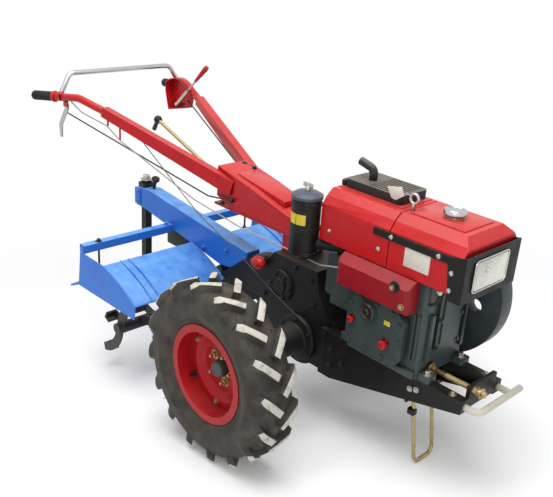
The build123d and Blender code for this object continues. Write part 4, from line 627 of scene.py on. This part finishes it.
# Side cover: a pressed sheet lid over the injection pump, sprayed a darker red, held by a round knob and
# a bolt. Its label place is bare.
# The paler rose that this enamel lays on upward faces is dust and also a painted top light.
dark_red = sprayed_enamel("dark_red_enamel", "#98141f", "#780e17", "#a85458", 0.08, 0.36)
dress(dark_red, 6.0, "side_cover")
SIDE_FACE, SIDE_KNOB_X, SIDE_KNOB_Z, SIDE_KNOB_BOLT = -179, 456, 724, 14
side_knob = ((0, 15), (9, 15), (12, 12), (12, 5), (17, 4), (18, 0), (0, 0))
knob_place = facing((SIDE_KNOB_X, SIDE_FACE, SIDE_KNOB_Z), (0, -1, 0))
turned_piece("side_cover_knob", side_knob, knob_place, 28, black_plastic)
bm = bmesh.new()
add_bolt(bm, facing((488, SIDE_FACE, 668), (0, -1, 0)), 12)
add_bolt(bm, facing((SIDE_KNOB_X, SIDE_FACE - SIDE_KNOB_BOLT, SIDE_KNOB_Z), (0, -1, 0)), 9)
finish_piece(bm, "side_cover_bolts", yellow_zinc)

# Hood: the radiator housing behind and the fuel tank in front, pressed from sheet with sloping
# shoulders and sprayed red. A seam parts the two, and screws hold the black strap along each side.
# The pale pink that this red enamel lays on upward faces is dust and also a painted top light.
red_enamel = sprayed_enamel("red_enamel", "#c4161c", "#a81217", "#e58d80", 0.2, 0.24)
dress(red_enamel, 13.0, "radiator_housing", "fuel_tank")
HOOD_SIDE, HOOD_TOP, STRAP_SIDE = 140, 922, 144
STRAP_SCREWS = ((393, 854), (567, 854), (617, 819), (618, 765))
HOOD_SCREWS = ((347, 799), (140, 790))
dome = ((0, 5), (4, 4.6), (7, 3), (8, 0), (0, 0))
bm = bmesh.new()
for side in (-1, 1):
    for out, screws in ((STRAP_SIDE, STRAP_SCREWS), (HOOD_SIDE, HOOD_SCREWS)):
        for x, z in screws:
            add_lathe(bm, dome, facing((x, side * out, z), (0, side, 0)), 20)
finish_piece(bm, "hood_screws", bright_zinc)

white_film = printed_film("white_film", "#e4e1da")
block_piece(
    "blank_white_plate", (447, -HOOD_SIDE - 0.9, 781), (540, -HOOD_SIDE + 0.1, 850), 0.4, white_film
)
# A raised deck pressed into the tank's top, round the cap.
block_piece(
    "tank_deck", (404, -78, HOOD_TOP - 4), (600, 78, HOOD_TOP + 4), 3.5, red_enamel
)

# Fuel cap: turned brass, chromed, with a fluted rim for the hand and a sunk middle, screwed on the
# tank's short neck. Chrome mirrors its surroundings, a little hazed in patches of 9 mm.
chrome = patchy_finish(
    "chrome_plating", 9, 5, linear("#d2d3d5"), linear("#a8aaac"), 0.08, 0.3, Metallic=1.0
)
CAP_X, CAP_STEPS, CAP_RIM, FLUTE_DEPTH = 509, 72, 34, 0.9
cap = (
    (0, 27), (22, 27), (25, 25), (29, 25.5), (31, 28), (34, 27.5), (35.5, 25), (35.5, 16), (32, 12),
    (27, 9), (27, 0), (0, 0),
)
bm = bmesh.new()
add_lathe(bm, cap, facing((CAP_X, 0, HOOD_TOP), (0, 0, 1)), CAP_STEPS)
# Every third step round the rim is drawn in as a flute.
for v in bm.verts:
    flat = Vector((v.co.x - CAP_X, v.co.y))
    if flat.length > CAP_RIM and round(math.atan2(flat.y, flat.x) / math.tau * CAP_STEPS) % 3 == 0:
        v.co.x -= FLUTE_DEPTH * flat.x / flat.length
        v.co.y -= FLUTE_DEPTH * flat.y / flat.length
cap_piece = finish_piece(bm, "fluted_fuel_cap", chrome)
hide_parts("fuel_cap")


def add_tube(bm, points, radius):
    """A round bar, hose or cable through points."""
    shape = bmesh.new()
    sides = 10
    spokes = [turn * math.tau / sides for turn in range(sides)]
    rings = []
    for at, point in enumerate(points):
        run = Vector(points[min(at + 1, len(points) - 1)]) - Vector(points[max(at - 1, 0)])
        place = facing(point, run)
        corners = [(radius * math.cos(spoke), radius * math.sin(spoke), 0) for spoke in spokes]
        rings.append([shape.verts.new(place @ Vector(corner)) for corner in corners])
    for near, far in zip(rings, rings[1:]):
        for at in range(sides):
            shape.faces.new((near[at - 1], near[at], far[at], far[at - 1]))
    shape.faces.new(rings[0])
    shape.faces.new(rings[-1])
    add_shape(bm, shape)


# The fuel tap under the tank and its rubber hose to the injection pump.
TAP_X, TAP_Y, TANK_BOTTOM = 566, -104, 750
tap = ((0, 30), (7, 30), (8, 28), (8, 14), (12, 12), (12, 0), (0, 0))
bm = bmesh.new()
add_lathe(bm, tap, facing((TAP_X, TAP_Y, TANK_BOTTOM), (0, 0, -1)), 20)
add_block(bm, (TAP_X - 6, TAP_Y - 12, 726), (TAP_X + 6, TAP_Y + 12, 734), 2)
finish_piece(bm, "fuel_tap", bright_zinc)
hose = (
    (TAP_X, TAP_Y, 724), (567, -105, 708), (564, -106, 694), (556, -107, 684), (546, -108, 678),
    (534, -109, 676),
)
bm = bmesh.new()
add_tube(bm, hose, 5)
finish_piece(bm, "fuel_hose", black_plastic)

# Lamp frame and headlight: a bent sheet surround sprayed black, strapped along the hood, with a sealed
# lamp in it: a bright reflector bowl in a chromed bezel, a shaded bulb and a fluted glass.
dress(black_enamel, 2.0, "lamp_frame")
LAMP_Y, LAMP_Z = -12, 810
LAMP_HALF_WIDTH, LAMP_HALF_HEIGHT, LAMP_CORNER = 90, 52, 14


def add_lamp_shell(bm, rings, first=False, last=False):
    """A shell through the lamp's rounded outline at each ring, given as (forward, drawn in by), its first
    and last rings filled if so said."""
    signs = ((-1, -1), (1, -1), (1, 1), (-1, 1))
    outline = bm.faces.new([bm.verts.new((0, y * LAMP_HALF_WIDTH, z * LAMP_HALF_HEIGHT)) for y, z in signs])
    bmesh.ops.bevel(
        bm, geom=outline.verts[:], offset=LAMP_CORNER, segments=5, profile=0.5, affect="VERTICES", material=-1
    )
    if not first:
        bmesh.ops.delete(bm, geom=bm.faces[:], context="FACES_ONLY")
    loop = bm.edges[:]
    fresh = bm.verts[:]
    drawn_in = 0
    for order, (forward, inset) in enumerate(rings):
        if order:
            grown = bmesh.ops.extrude_edge_only(bm, edges=loop)["geom"]
            loop = [g for g in grown if isinstance(g, bmesh.types.BMEdge)]
            fresh = [g for g in grown if isinstance(g, bmesh.types.BMVert)]
        for v in fresh:
            v.co.x = forward
            v.co.y *= (LAMP_HALF_WIDTH - inset) / (LAMP_HALF_WIDTH - drawn_in)
            v.co.z *= (LAMP_HALF_HEIGHT - inset) / (LAMP_HALF_HEIGHT - drawn_in)
        drawn_in = inset
    if last:
        bmesh.ops.contextual_create(bm, geom=loop)
    bmesh.ops.translate(bm, vec=(0, LAMP_Y, LAMP_Z), verts=bm.verts)


bm = bmesh.new()
add_lamp_shell(bm, ((653, 3), (666, 0), (668, 1), (668, 3.5), (665, 5), (655, 6)))
finish_piece(bm, "lamp_bezel", chrome)

# The bowl is coated with aluminium vapour over lacquer, which is pale and a little satiny.
vapour_aluminium = patchy_finish(
    "vapour_aluminium", 30, 4, linear("#f6f5ef"), linear("#e6e3d6"), 0.3, 0.5, Metallic=1.0
)
bm = bmesh.new()
add_lamp_shell(bm, ((664.5, 6), (660, 12), (656, 24), (654, 38), (653.4, 47)), last=True)
lamp_bowl = finish_piece(bm, "lamp_reflector", vapour_aluminium, crease=60)
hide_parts("headlight")
shade = ((0, 9), (5, 8), (8, 5), (9, 0), (0, 0))
shade_place = facing((654, LAMP_Y, LAMP_Z), (1, 0, 0))
turned_piece("lamp_bulb_shade", shade, shade_place, 24, vapour_aluminium)

# Clear pressed glass, a little smudged. Upright flutes in it spread the beam: one every 9 mm, where a
# wave of scale 1 has about 3.2 bands to the metre.
GLASS_FLUTE, BANDS_PER_METRE = 9, 3.2
lamp_glass = patchy_finish(
    "pressed_lamp_glass", 40, 5, linear("#ffffff"), linear("#fafbf6"), 0.02, 0.12,
    Transmission_Weight=1.0, IOR=1.5,
)
flutes = add_node(lamp_glass, "TexWave", {
    "Vector": add_node(lamp_glass, "TexCoord", {}).outputs["Object"],
    "Scale": 1000 / GLASS_FLUTE / BANDS_PER_METRE,
    "Distortion": 0.0,
}, wave_type="BANDS", bands_direction="Y")
ripple = add_node(lamp_glass, "Bump", {
    "Height": flutes.outputs["Fac"], "Strength": 0.1, "Distance": 0.001,
})
set_inputs(lamp_glass, lamp_glass.node_tree.nodes["Principled BSDF"], {"Normal": ripple})
bm = bmesh.new()
add_lamp_shell(bm, ((664.6, 6), (666.6, 6.5), (667.4, 14)), first=True, last=True)
finish_piece(bm, "lamp_glass", lamp_glass, crease=50)

# Muffler, exhaust pipe and lifting eye: the muffler is a ribbed box of welded sheet in heat-proof black,
# its pipe bends back, and the eye screwed in beside it is forged and plated.
heat_black = cast_iron("heat_proof_black", "#2c2c2b", "#1e1d1d", 0.42, 0.5)
dress(heat_black, 2.0, "muffler")
dress(heat_black, 1.0, "exhaust_pipe")
dress(bright_zinc, 0.6, "lifting_eye")
# The water hopper's moulded lid behind the muffler.
block_piece(
    "hopper_lid", (99, -58, HOOD_TOP - 2), (119, 76, HOOD_TOP + 25), 9, heat_black
)
block_piece(
    "muffler_gasket_plate", (104, -70, HOOD_TOP - 3), (366, 88, HOOD_TOP + 3), 2.5, red_enamel
)


def add_prism(bm, outline, depth, edge):
    """A flat outline given depth along a vector, its edges rounded."""
    shape = bmesh.new()
    face = shape.faces.new([shape.verts.new(point) for point in outline])
    grown = bmesh.ops.extrude_face_region(shape, geom=[face])["geom"]
    bmesh.ops.translate(shape, vec=depth, verts=[g for g in grown if isinstance(g, bmesh.types.BMVert)])
    bmesh.ops.recalc_face_normals(shape, faces=shape.faces)
    round_edges(shape, shape.edges[:], edge)
    add_shape(bm, shape)


# A blank card tag, tied with string to the lifting eye.
TAG_Y = -66
tag = [(x, TAG_Y, z) for x, z in ((296, 976), (352, 988), (364, 962), (334, 940), (316, 944))]
bm = bmesh.new()
add_prism(bm, tag, (0, 0.8, 0), 0.2)
add_tube(bm, ((356, -65.6, 968), (370, -64, 974), (380, -58, 967), (382, -50, 960)), 0.9)
finish_piece(bm, "blank_tag", white_film)

# Air cleaner: a black pressed can with a grey-blue moulded lid held by a wing nut, banded to the
# engine, with two yellow blank patches on it.
lid_plastic = moulded_plastic("slate_moulded_lid", "#4f5762", 0.36)
dress(black_enamel, 2.0, "air_cleaner")
dress(lid_plastic, 2.0, "air_cleaner_lid")
CAN_X, CAN_Y, CAN_RADIUS, CAN_TOP = 40, -150, 50, 880
can = Matrix.Translation((CAN_X, CAN_Y, 0))
bm = bmesh.new()
for z in (862, 776, 690):
    band = ((-2, -6), (2, -5), (2, 5), (-2, 6))
    add_lathe(bm, [(CAN_RADIUS + out, z + rise) for out, rise in band], can, 48)
finish_piece(bm, "air_cleaner_bands", black_enamel)

wing_nut = ((0, 24), (4, 24), (5, 22), (5, 12), (9, 10), (10, 0), (0, 0))
bm = bmesh.new()
add_lathe(bm, wing_nut, facing((CAN_X, CAN_Y, CAN_TOP + 26), (0, 0, 1)), 20)
for wing in (-13, 13):
    x = CAN_X + wing
    add_block(bm, (x - 9, CAN_Y - 1.5, CAN_TOP + 34), (x + 9, CAN_Y + 1.5, CAN_TOP + 50), 1)
finish_piece(bm, "air_cleaner_wing_nut", bright_zinc)

# Each patch bends round the can from one angle to another, in degrees.
PATCH_SECTION = ((0.2, 796), (1, 796), (1, 832), (0.2, 832))
bm = bmesh.new()
for start, stop in ((-124, -87), (-84, -46)):
    patch = bmesh.new()
    corners = [patch.verts.new((CAN_RADIUS + out, 0, z)) for out, z in PATCH_SECTION]
    edges = [patch.edges.new((corners[at - 1], corners[at])) for at in range(4)]
    bmesh.ops.spin(
        patch, geom=corners + edges, cent=(0, 0, 0), axis=(0, 0, 1), angle=math.radians(stop - start),
        steps=10,
    )
    bmesh.ops.holes_fill(patch, edges=patch.edges)
    add_shape(bm, patch, can @ Matrix.Rotation(math.radians(start), 4, "Z"))
finish_piece(bm, "blank_yellow_patches", yellow_film)

# Flywheel and belt drive: a heavy cast flywheel painted dark grey, grooved pulleys, three V-belts of
# rubber in woven covers, and a sheet guard on stays along the left side.
flywheel_iron = cast_iron("flywheel_iron", "#4a5559", "#2d3437", 0.05, 0.42)
belt_rubber = patchy_finish(
    "woven_belt_rubber", 5, 6, linear("#151515"), linear("#2e2c2a"), 0.6, 0.9, Specular_IOR_Level=0.25
)
dress(flywheel_iron, 3.0, "flywheel")
dress(black_iron, 1.5, "clutch_pulley")
dress(belt_rubber, 0.8, "drive_belts")
dress(black_enamel, 1.2, "belt_guard")

# Handlebar base: a stepped box pressed and welded from sheet, sprayed red, on a pedestal bolted to the
# gearbox. A welded cover evens out its top, a narrower deck stands on that, and levers come out behind.
dress(red_enamel, 4.0, "handle_base")
dress(red_enamel, 3.0, "handle_pedestal")
BASE_SIDE, DECK_SIDE = 74.7, 47
BASE_BOLT_SIDE, BASE_BOLT_TOP = 62, 680
BASE_TIP = math.radians(11)
cover = [(x, -BASE_SIDE, z) for x, z in ((-338, 796.6), (-112, 744), (-112, 738), (-328, 774))]
deck = [(x, -DECK_SIDE, z) for x, z in ((-436, 820), (-165, 781), (-165, 748), (-436, 806))]
bm = bmesh.new()
add_prism(bm, cover, (0, 2 * BASE_SIDE, 0), 2)
add_prism(bm, deck, (0, 2 * DECK_SIDE, 0), 4)
finish_piece(bm, "handle_base_deck", red_enamel)

# Rubber closes a hole and a slot in the top's rear end, beside a bolt.
rear_top = Matrix.Translation((-500, 46, 828)) @ Matrix.Rotation(BASE_TIP, 4, "Y")
bm = bmesh.new()
add_lathe(bm, ((0, 1), (11, 1), (12, 0.5), (12, -2), (0, -2)), rear_top, 28)
add_block(bm, (20, 9, -1), (44, 14, 1), 0.6, rear_top)
add_bolt(bm, rear_top @ Matrix.Translation((54, 6, 0)), 11)
finish_piece(bm, "handle_base_grommets", black_plastic)
bm = bmesh.new()
for side in (-1, 1):
    for x in (-500, -300, -140):
        add_bolt(bm, facing((x, side * BASE_BOLT_SIDE, BASE_BOLT_TOP), (0, 0, 1)), 14)
finish_piece(bm, "handle_base_bolts", dark_steel)

# Handle arms, grips and hand bar: tapering welded box arms sprayed red, each ending in a bent tube with
# a ribbed rubber grip, and a bar of chromed tube across them.
dress(red_enamel, 3.0, "handle_arm_right", "handle_arm_left")
dress(chrome, 0.5, "hand_bar")
grip_rubber = moulded_plastic("ribbed_grip_rubber", "#1d1c1b", 0.7)
BEND, GRIP_END, BAR_FOOT = (-1193, 288, 983), (-1473, 348, 949), (-1300, 316, 973)
GRIP_LENGTH, RIB_COUNT, RIB_PITCH, RIB_RADIUS, RIB_ROOT = 134, 10, 11.5, 20.5, 18.6
ribs = [(0, 0.4), (12, 0.8), (18, 2.5), (20, 6)]
for rib in range(RIB_COUNT):
    at = 8 + rib * RIB_PITCH
    ribs += [(RIB_RADIUS, at), (RIB_RADIUS, at + 7), (RIB_ROOT, at + 8.5), (RIB_ROOT, at + 10.5)]
ribs += [(RIB_RADIUS, GRIP_LENGTH - 8), (RIB_RADIUS, GRIP_LENGTH), (16, GRIP_LENGTH)]
collar = ((16, 0), (23, 0), (24, 2), (24, 8), (20, 12), (16.2, 13))
bar_clamp = ((16.1, -13), (19, -13), (20, -12), (20, 12), (19, 13), (16.1, 13))
for name, side in (("right", -1), ("left", 1)):
    start, end, foot = [Vector((x, side * y, z)) for x, y, z in (BEND, GRIP_END, BAR_FOOT)]
    along = (start - end).normalized()
    bm = bmesh.new()
    add_lathe(bm, ribs, facing(end, along), 36)
    grip = finish_piece(bm, f"ribbed_grip_{name}", grip_rubber)
    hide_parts(f"grip_{name}")
    bm = bmesh.new()
    add_lathe(bm, collar, facing(end + along * GRIP_LENGTH, along), 36)
    add_lathe(bm, bar_clamp, facing(foot, along), 36)
    finish_piece(bm, f"grip_collar_{name}", red_enamel)

# Controls: the steering-clutch lever under the right grip, the clutch lever with its red handle, the
# gear lever and the pull rods, all of plated or painted bar, and the throttle with its sheathed cable.
dress(bright_zinc, 0.8, "steering_lever")
dress(bright_zinc, 0.5, "clutch_lever")
dress(yellow_zinc, 0.5, "gear_lever")
dress(dark_steel, 0.5, "steering_rod", "clutch_rod")
cable_sheath = moulded_plastic("grey_cable_sheath", "#b5aeaa", 0.45)
dress(cable_sheath, 0.3, "throttle_cable")
LEVER_FOOT, LEVER_RISE, LEVER_BAR = Vector((-1237, 251, 896)), math.radians(43), 193
lever_line = Vector((math.cos(LEVER_RISE), 0, math.sin(LEVER_RISE)))
handle = ((0, 114), (7, 113), (11, 109), (12, 100), (8, 20), (6.5, 2), (5, 0), (0, 0))
handle_place = facing(LEVER_FOOT + lever_line * LEVER_BAR, lever_line)
turned_piece("clutch_lever_handle", handle, handle_place, 28, red_plastic)

BALL = 18
ball_neck = ((0, 62), (9, 60), (10, 56), (8, 4), (0, 0))
bm = bmesh.new()
add_lathe(bm, egg(BALL, BALL, BALL), facing((-1000, -20, 884), (0, 0, 1)), 32)
add_lathe(bm, ball_neck, facing((-1003, -20, 900), (-0.55, 0.1, -0.75)), 24)
finish_piece(bm, "gear_lever_knob", black_plastic)

throttle = ((0, 26), (13, 26), (16, 23), (16, 14), (12, 12), (12, 0), (0, 0))
throttle_place = facing((-1268, -288, 968), (0, -1, 0))
turned_piece("throttle_knob", throttle, throttle_place, 28, black_plastic)

# The steering-clutch cable is pulled tight from the right arm to the axle housing's flange.
cable = (
    (-918, -189, 886), (-746, -150, 747), (-589, -118, 626), (-430, -108, 562), (-287, -104, 508),
    (-120, -113, 449), (55, -114, 392),
)
bm = bmesh.new()
add_tube(bm, cable, 1.8)
finish_piece(bm, "steering_clutch_cable", dark_steel)

# Tiller case, beam and depth post: a cast chain case bolted to the gearbox, the folded sheet beam over
# it in blue, and a square post that slides in the beam's end under a clamp screw.
# The pale sky-blue that this blue enamel lays on upward faces is dust and also a painted top light.
blue_enamel = sprayed_enamel("blue_enamel", "#2f7ce2", "#2763c6", "#9cd9ff", 0.55, 0.26)
dress(black_iron, 4.0, "tiller_case")
dress(blue_enamel, 3.0, "tiller_beam")
dress(black_enamel, 1.5, "depth_post")
BEAM_SIDE, CLAMP_SIDE = 35, 40
BEAM_BOLTS = ((-867, 449), (-494, 472), (-640, 436), (-1132, 545), (-1132, 500))
bm = bmesh.new()
for side in (-1, 1):
    for x, z in BEAM_BOLTS:
        add_bolt(bm, facing((x, side * BEAM_SIDE, z), (0, side, 0)), 15)
# A folded clamp plate closes the beam's end round the post.
for near, far in ((-CLAMP_SIDE, -BEAM_SIDE - 0.2), (BEAM_SIDE + 0.2, CLAMP_SIDE)):
    add_block(bm, (-1156, near, 482), (-1112, far, 560), 2)
finish_piece(bm, "tiller_beam_bolts", blue_enamel)

clamp_knob = ((0, 66), (15, 66), (18, 63), (18, 52), (8, 42), (6, 0), (0, 0))
bm = bmesh.new()
add_block(bm, (-1146, -27, 563), (-1092, 27, 586), 4)
add_lathe(bm, clamp_knob, facing((-1062, 0, 562), (0.3, 0, 1)), 28)
finish_piece(bm, "depth_clamp", black_plastic)
# The cast bracket that joins the beam to the case under it.
block_piece("beam_bracket", (-917, -28, 362), (-748, 28, 436), 6, black_iron)
bm = bmesh.new()
add_bolt(bm, facing((-1119, 0, 599), (0, 0, 1)), 30)
finish_piece(bm, "depth_post_nut", bright_zinc)

# Tiller hood: two curved covers, end plates and an angle bar behind, cut and rolled from sheet and
# sprayed blue. A threaded rod hangs from each end of the bar.
dress(blue_enamel, 1.5, "tiller_hood_right", "tiller_hood_left", "tiller_end_right", "tiller_end_left")
dress(blue_enamel, 1.5, "tiller_rear_bar")
BAR_X, BAR_TOP, BAR_BOLT_SIDE = -876, 466, 62
BAR_END, BAR_END_HALF = 472, 2
HANGER_SIDE, HANGER_FOOT = 398, 350
HEEL_SIDE, HEEL_SHEET = 470, 3
HEEL_STRIP = ((-912, 292), (-912, 276), (-990, 238), (-994, 246))
SWAGE_SIDES, SWAGE_RADIUS, SWAGE_STEPS = (392, 356), 3.2, 16
HOOD_REAR, HOOD_FRONT, HOOD_BOW = Vector((-722, 432)), Vector((-497, 343)), 16
# A swage rolled round the cover follows the cover's arc, standing 3 mm proud.
chord = HOOD_FRONT - HOOD_REAR
rise = Vector((-chord.y, chord.x)).normalized()
arc = []
for step in range(SWAGE_STEPS + 1):
    share = step / SWAGE_STEPS
    arc.append(HOOD_REAR + chord * share + rise * (HOOD_BOW * (1 - (2 * share - 1) ** 2)))
bm = bmesh.new()
hangers = bmesh.new()
for side in (-1, 1):
    add_bolt(bm, facing((BAR_X, side * BAR_BOLT_SIDE, BAR_TOP), (0, 0, 1)), 16)
    # The bar's end is closed with a plate welded on the end plate.
    end = side * BAR_END
    add_block(bm, (-895, end - BAR_END_HALF, 431), (-861, end + BAR_END_HALF, BAR_TOP + 0.3), 0.8)
    # A strip bent out of the end plate's heel.
    add_prism(bm, [(x, side * HEEL_SIDE, z) for x, z in HEEL_STRIP], (0, -HEEL_SHEET * side, 0), 0.6)
    for out in SWAGE_SIDES:
        add_tube(bm, [(point.x, side * out, point.y) for point in arc], SWAGE_RADIUS)
    out = side * HANGER_SIDE
    add_tube(hangers, ((BAR_X, out, HANGER_FOOT), (BAR_X, out, BAR_TOP + 8)), 4.5)
    for z, way, across in ((BAR_TOP, 1, 15), (BAR_TOP - 5, -1, 15), (HANGER_FOOT + 2, 1, 13)):
        add_bolt(hangers, facing((BAR_X, out, z), (0, 0, way)), across)
finish_piece(bm, "tiller_hood_swages", blue_enamel)
finish_piece(hangers, "tiller_hanger_rods", dark_steel)

# Tiller rotor: a forged shaft with curved spring-steel blades in pairs along it, dark with scale and
# dull with dried soil.
blade_steel = cast_iron("scaled_blade_steel", "#3b3835", "#24211f", 0.1, 0.45)
dress(blade_steel, 1.2, "tiller_rotor")

# Studio: a pale seamless floor under a white surround, one broad soft lamp overhead and a weak fill from
# the front right.


def seen_directly(material):
    """A node that is 1 for rays from the camera, a reflection or through glass, and 0 for light."""
    path = add_node(material, "LightPath", {}).outputs
    seen = add_node(material, "Math", {
        0: path["Is Camera Ray"], 1: path["Is Glossy Ray"],
    }, operation="MAXIMUM")
    return add_node(material, "Math", {0: seen, 1: path["Is Transmission Ray"]}, operation="MAXIMUM")


white = linear("#ffffff")
floor_paper, paper, where = new_material(
    "seamless_paper", Roughness=0.9, Specular_IOR_Level=0.0, Emission_Color=white
)
seen = seen_directly(floor_paper)
# The paper runs out to plain white beyond the tractor's shadow.
out = add_node(floor_paper, "VectorMath", {0: where["Object"]}, operation="LENGTH")
away = add_node(floor_paper, "MapRange", {
    "Value": out.outputs["Value"], "From Min": 1.0, "From Max": 2.6, "To Min": 0.0, "To Max": 1.0,
}, interpolation_type="SMOOTHSTEP")
plain = add_node(floor_paper, "Math", {0: away, 1: seen}, operation="MULTIPLY")
sheet = add_node(floor_paper, "MixRGB", {"Fac": plain, "Color1": white, "Color2": linear("#000000")})
glow = add_node(floor_paper, "MapRange", {"Value": plain, "To Min": 0.12, "To Max": 1.0})
lit = add_node(floor_paper, "Math", {0: glow, 1: seen}, operation="MULTIPLY")
set_inputs(floor_paper, paper, {"Base Color": sheet, "Emission Strength": lit})
FLOOR_HALF = 14
bm = bmesh.new()
bmesh.ops.create_grid(bm, x_segments=2, y_segments=2, size=FLOOR_HALF)
mesh = bpy.data.meshes.new("floor")
bm.to_mesh(mesh)
bm.free()
mesh.materials.append(floor_paper)
floor = bpy.data.objects.new("floor", mesh)
bpy.context.scene.collection.objects.link(floor)

world = bpy.data.worlds.new("studio")
bpy.context.scene.world = world
world.use_nodes = True
strength = add_node(world, "MapRange", {"Value": seen_directly(world), "To Min": 0.42, "To Max": 1.0})
set_inputs(world, world.node_tree.nodes["Background"], {"Color": white, "Strength": strength})

LIT_POINT = Vector((0, 0, 0.5))
for name, place, size, watts in (
    ("overhead", (0.6, -0.6, 3.6), 3.0, 115),
    ("front_fill", (2.8, -2.2, 1.6), 1.6, 12),
):
    lamp = bpy.data.lights.new(name, "AREA")
    lamp.size = size
    lamp.energy = watts
    light = bpy.data.objects.new(name, lamp)
    light.matrix_world = facing(place, Vector(place) - LIT_POINT)
    bpy.context.scene.collection.objects.link(light)

# Camera: at the photograph's viewing angle, 47 degrees round from the right side and looking down 18,
# with its place and focal length fitted to the tractor's corners and wheels.
AZIMUTH, ELEVATION, ROLL = math.radians(47.0), math.radians(18.4), math.radians(-0.5)
PHOTO_WIDTH, FOCAL_PIXELS, SENSOR = 553, 754.9, 36.0
CAMERA_PLACE = (2.1103, -1.8748, 1.4989)
level_back = Vector((math.sin(AZIMUTH), -math.cos(AZIMUTH), 0))
back = level_back * math.cos(ELEVATION) + Vector((0, 0, math.sin(ELEVATION)))
right = Vector((math.cos(AZIMUTH), math.sin(AZIMUTH), 0))
up = back.cross(right)
rolled_right = math.cos(ROLL) * right + math.sin(ROLL) * up
rolled_up = math.cos(ROLL) * up - math.sin(ROLL) * right
turned = Matrix((rolled_right, rolled_up, back)).transposed().to_4x4()
lens = bpy.data.cameras.new("camera")
lens.sensor_width = SENSOR
lens.lens = SENSOR * FOCAL_PIXELS / PHOTO_WIDTH
camera = bpy.data.objects.new("camera", lens)
camera.matrix_world = Matrix.Translation(CAMERA_PLACE) @ turned
bpy.context.scene.collection.objects.link(camera)
bpy.context.scene.camera = camera
bpy.context.scene.view_settings.view_transform = "Standard"
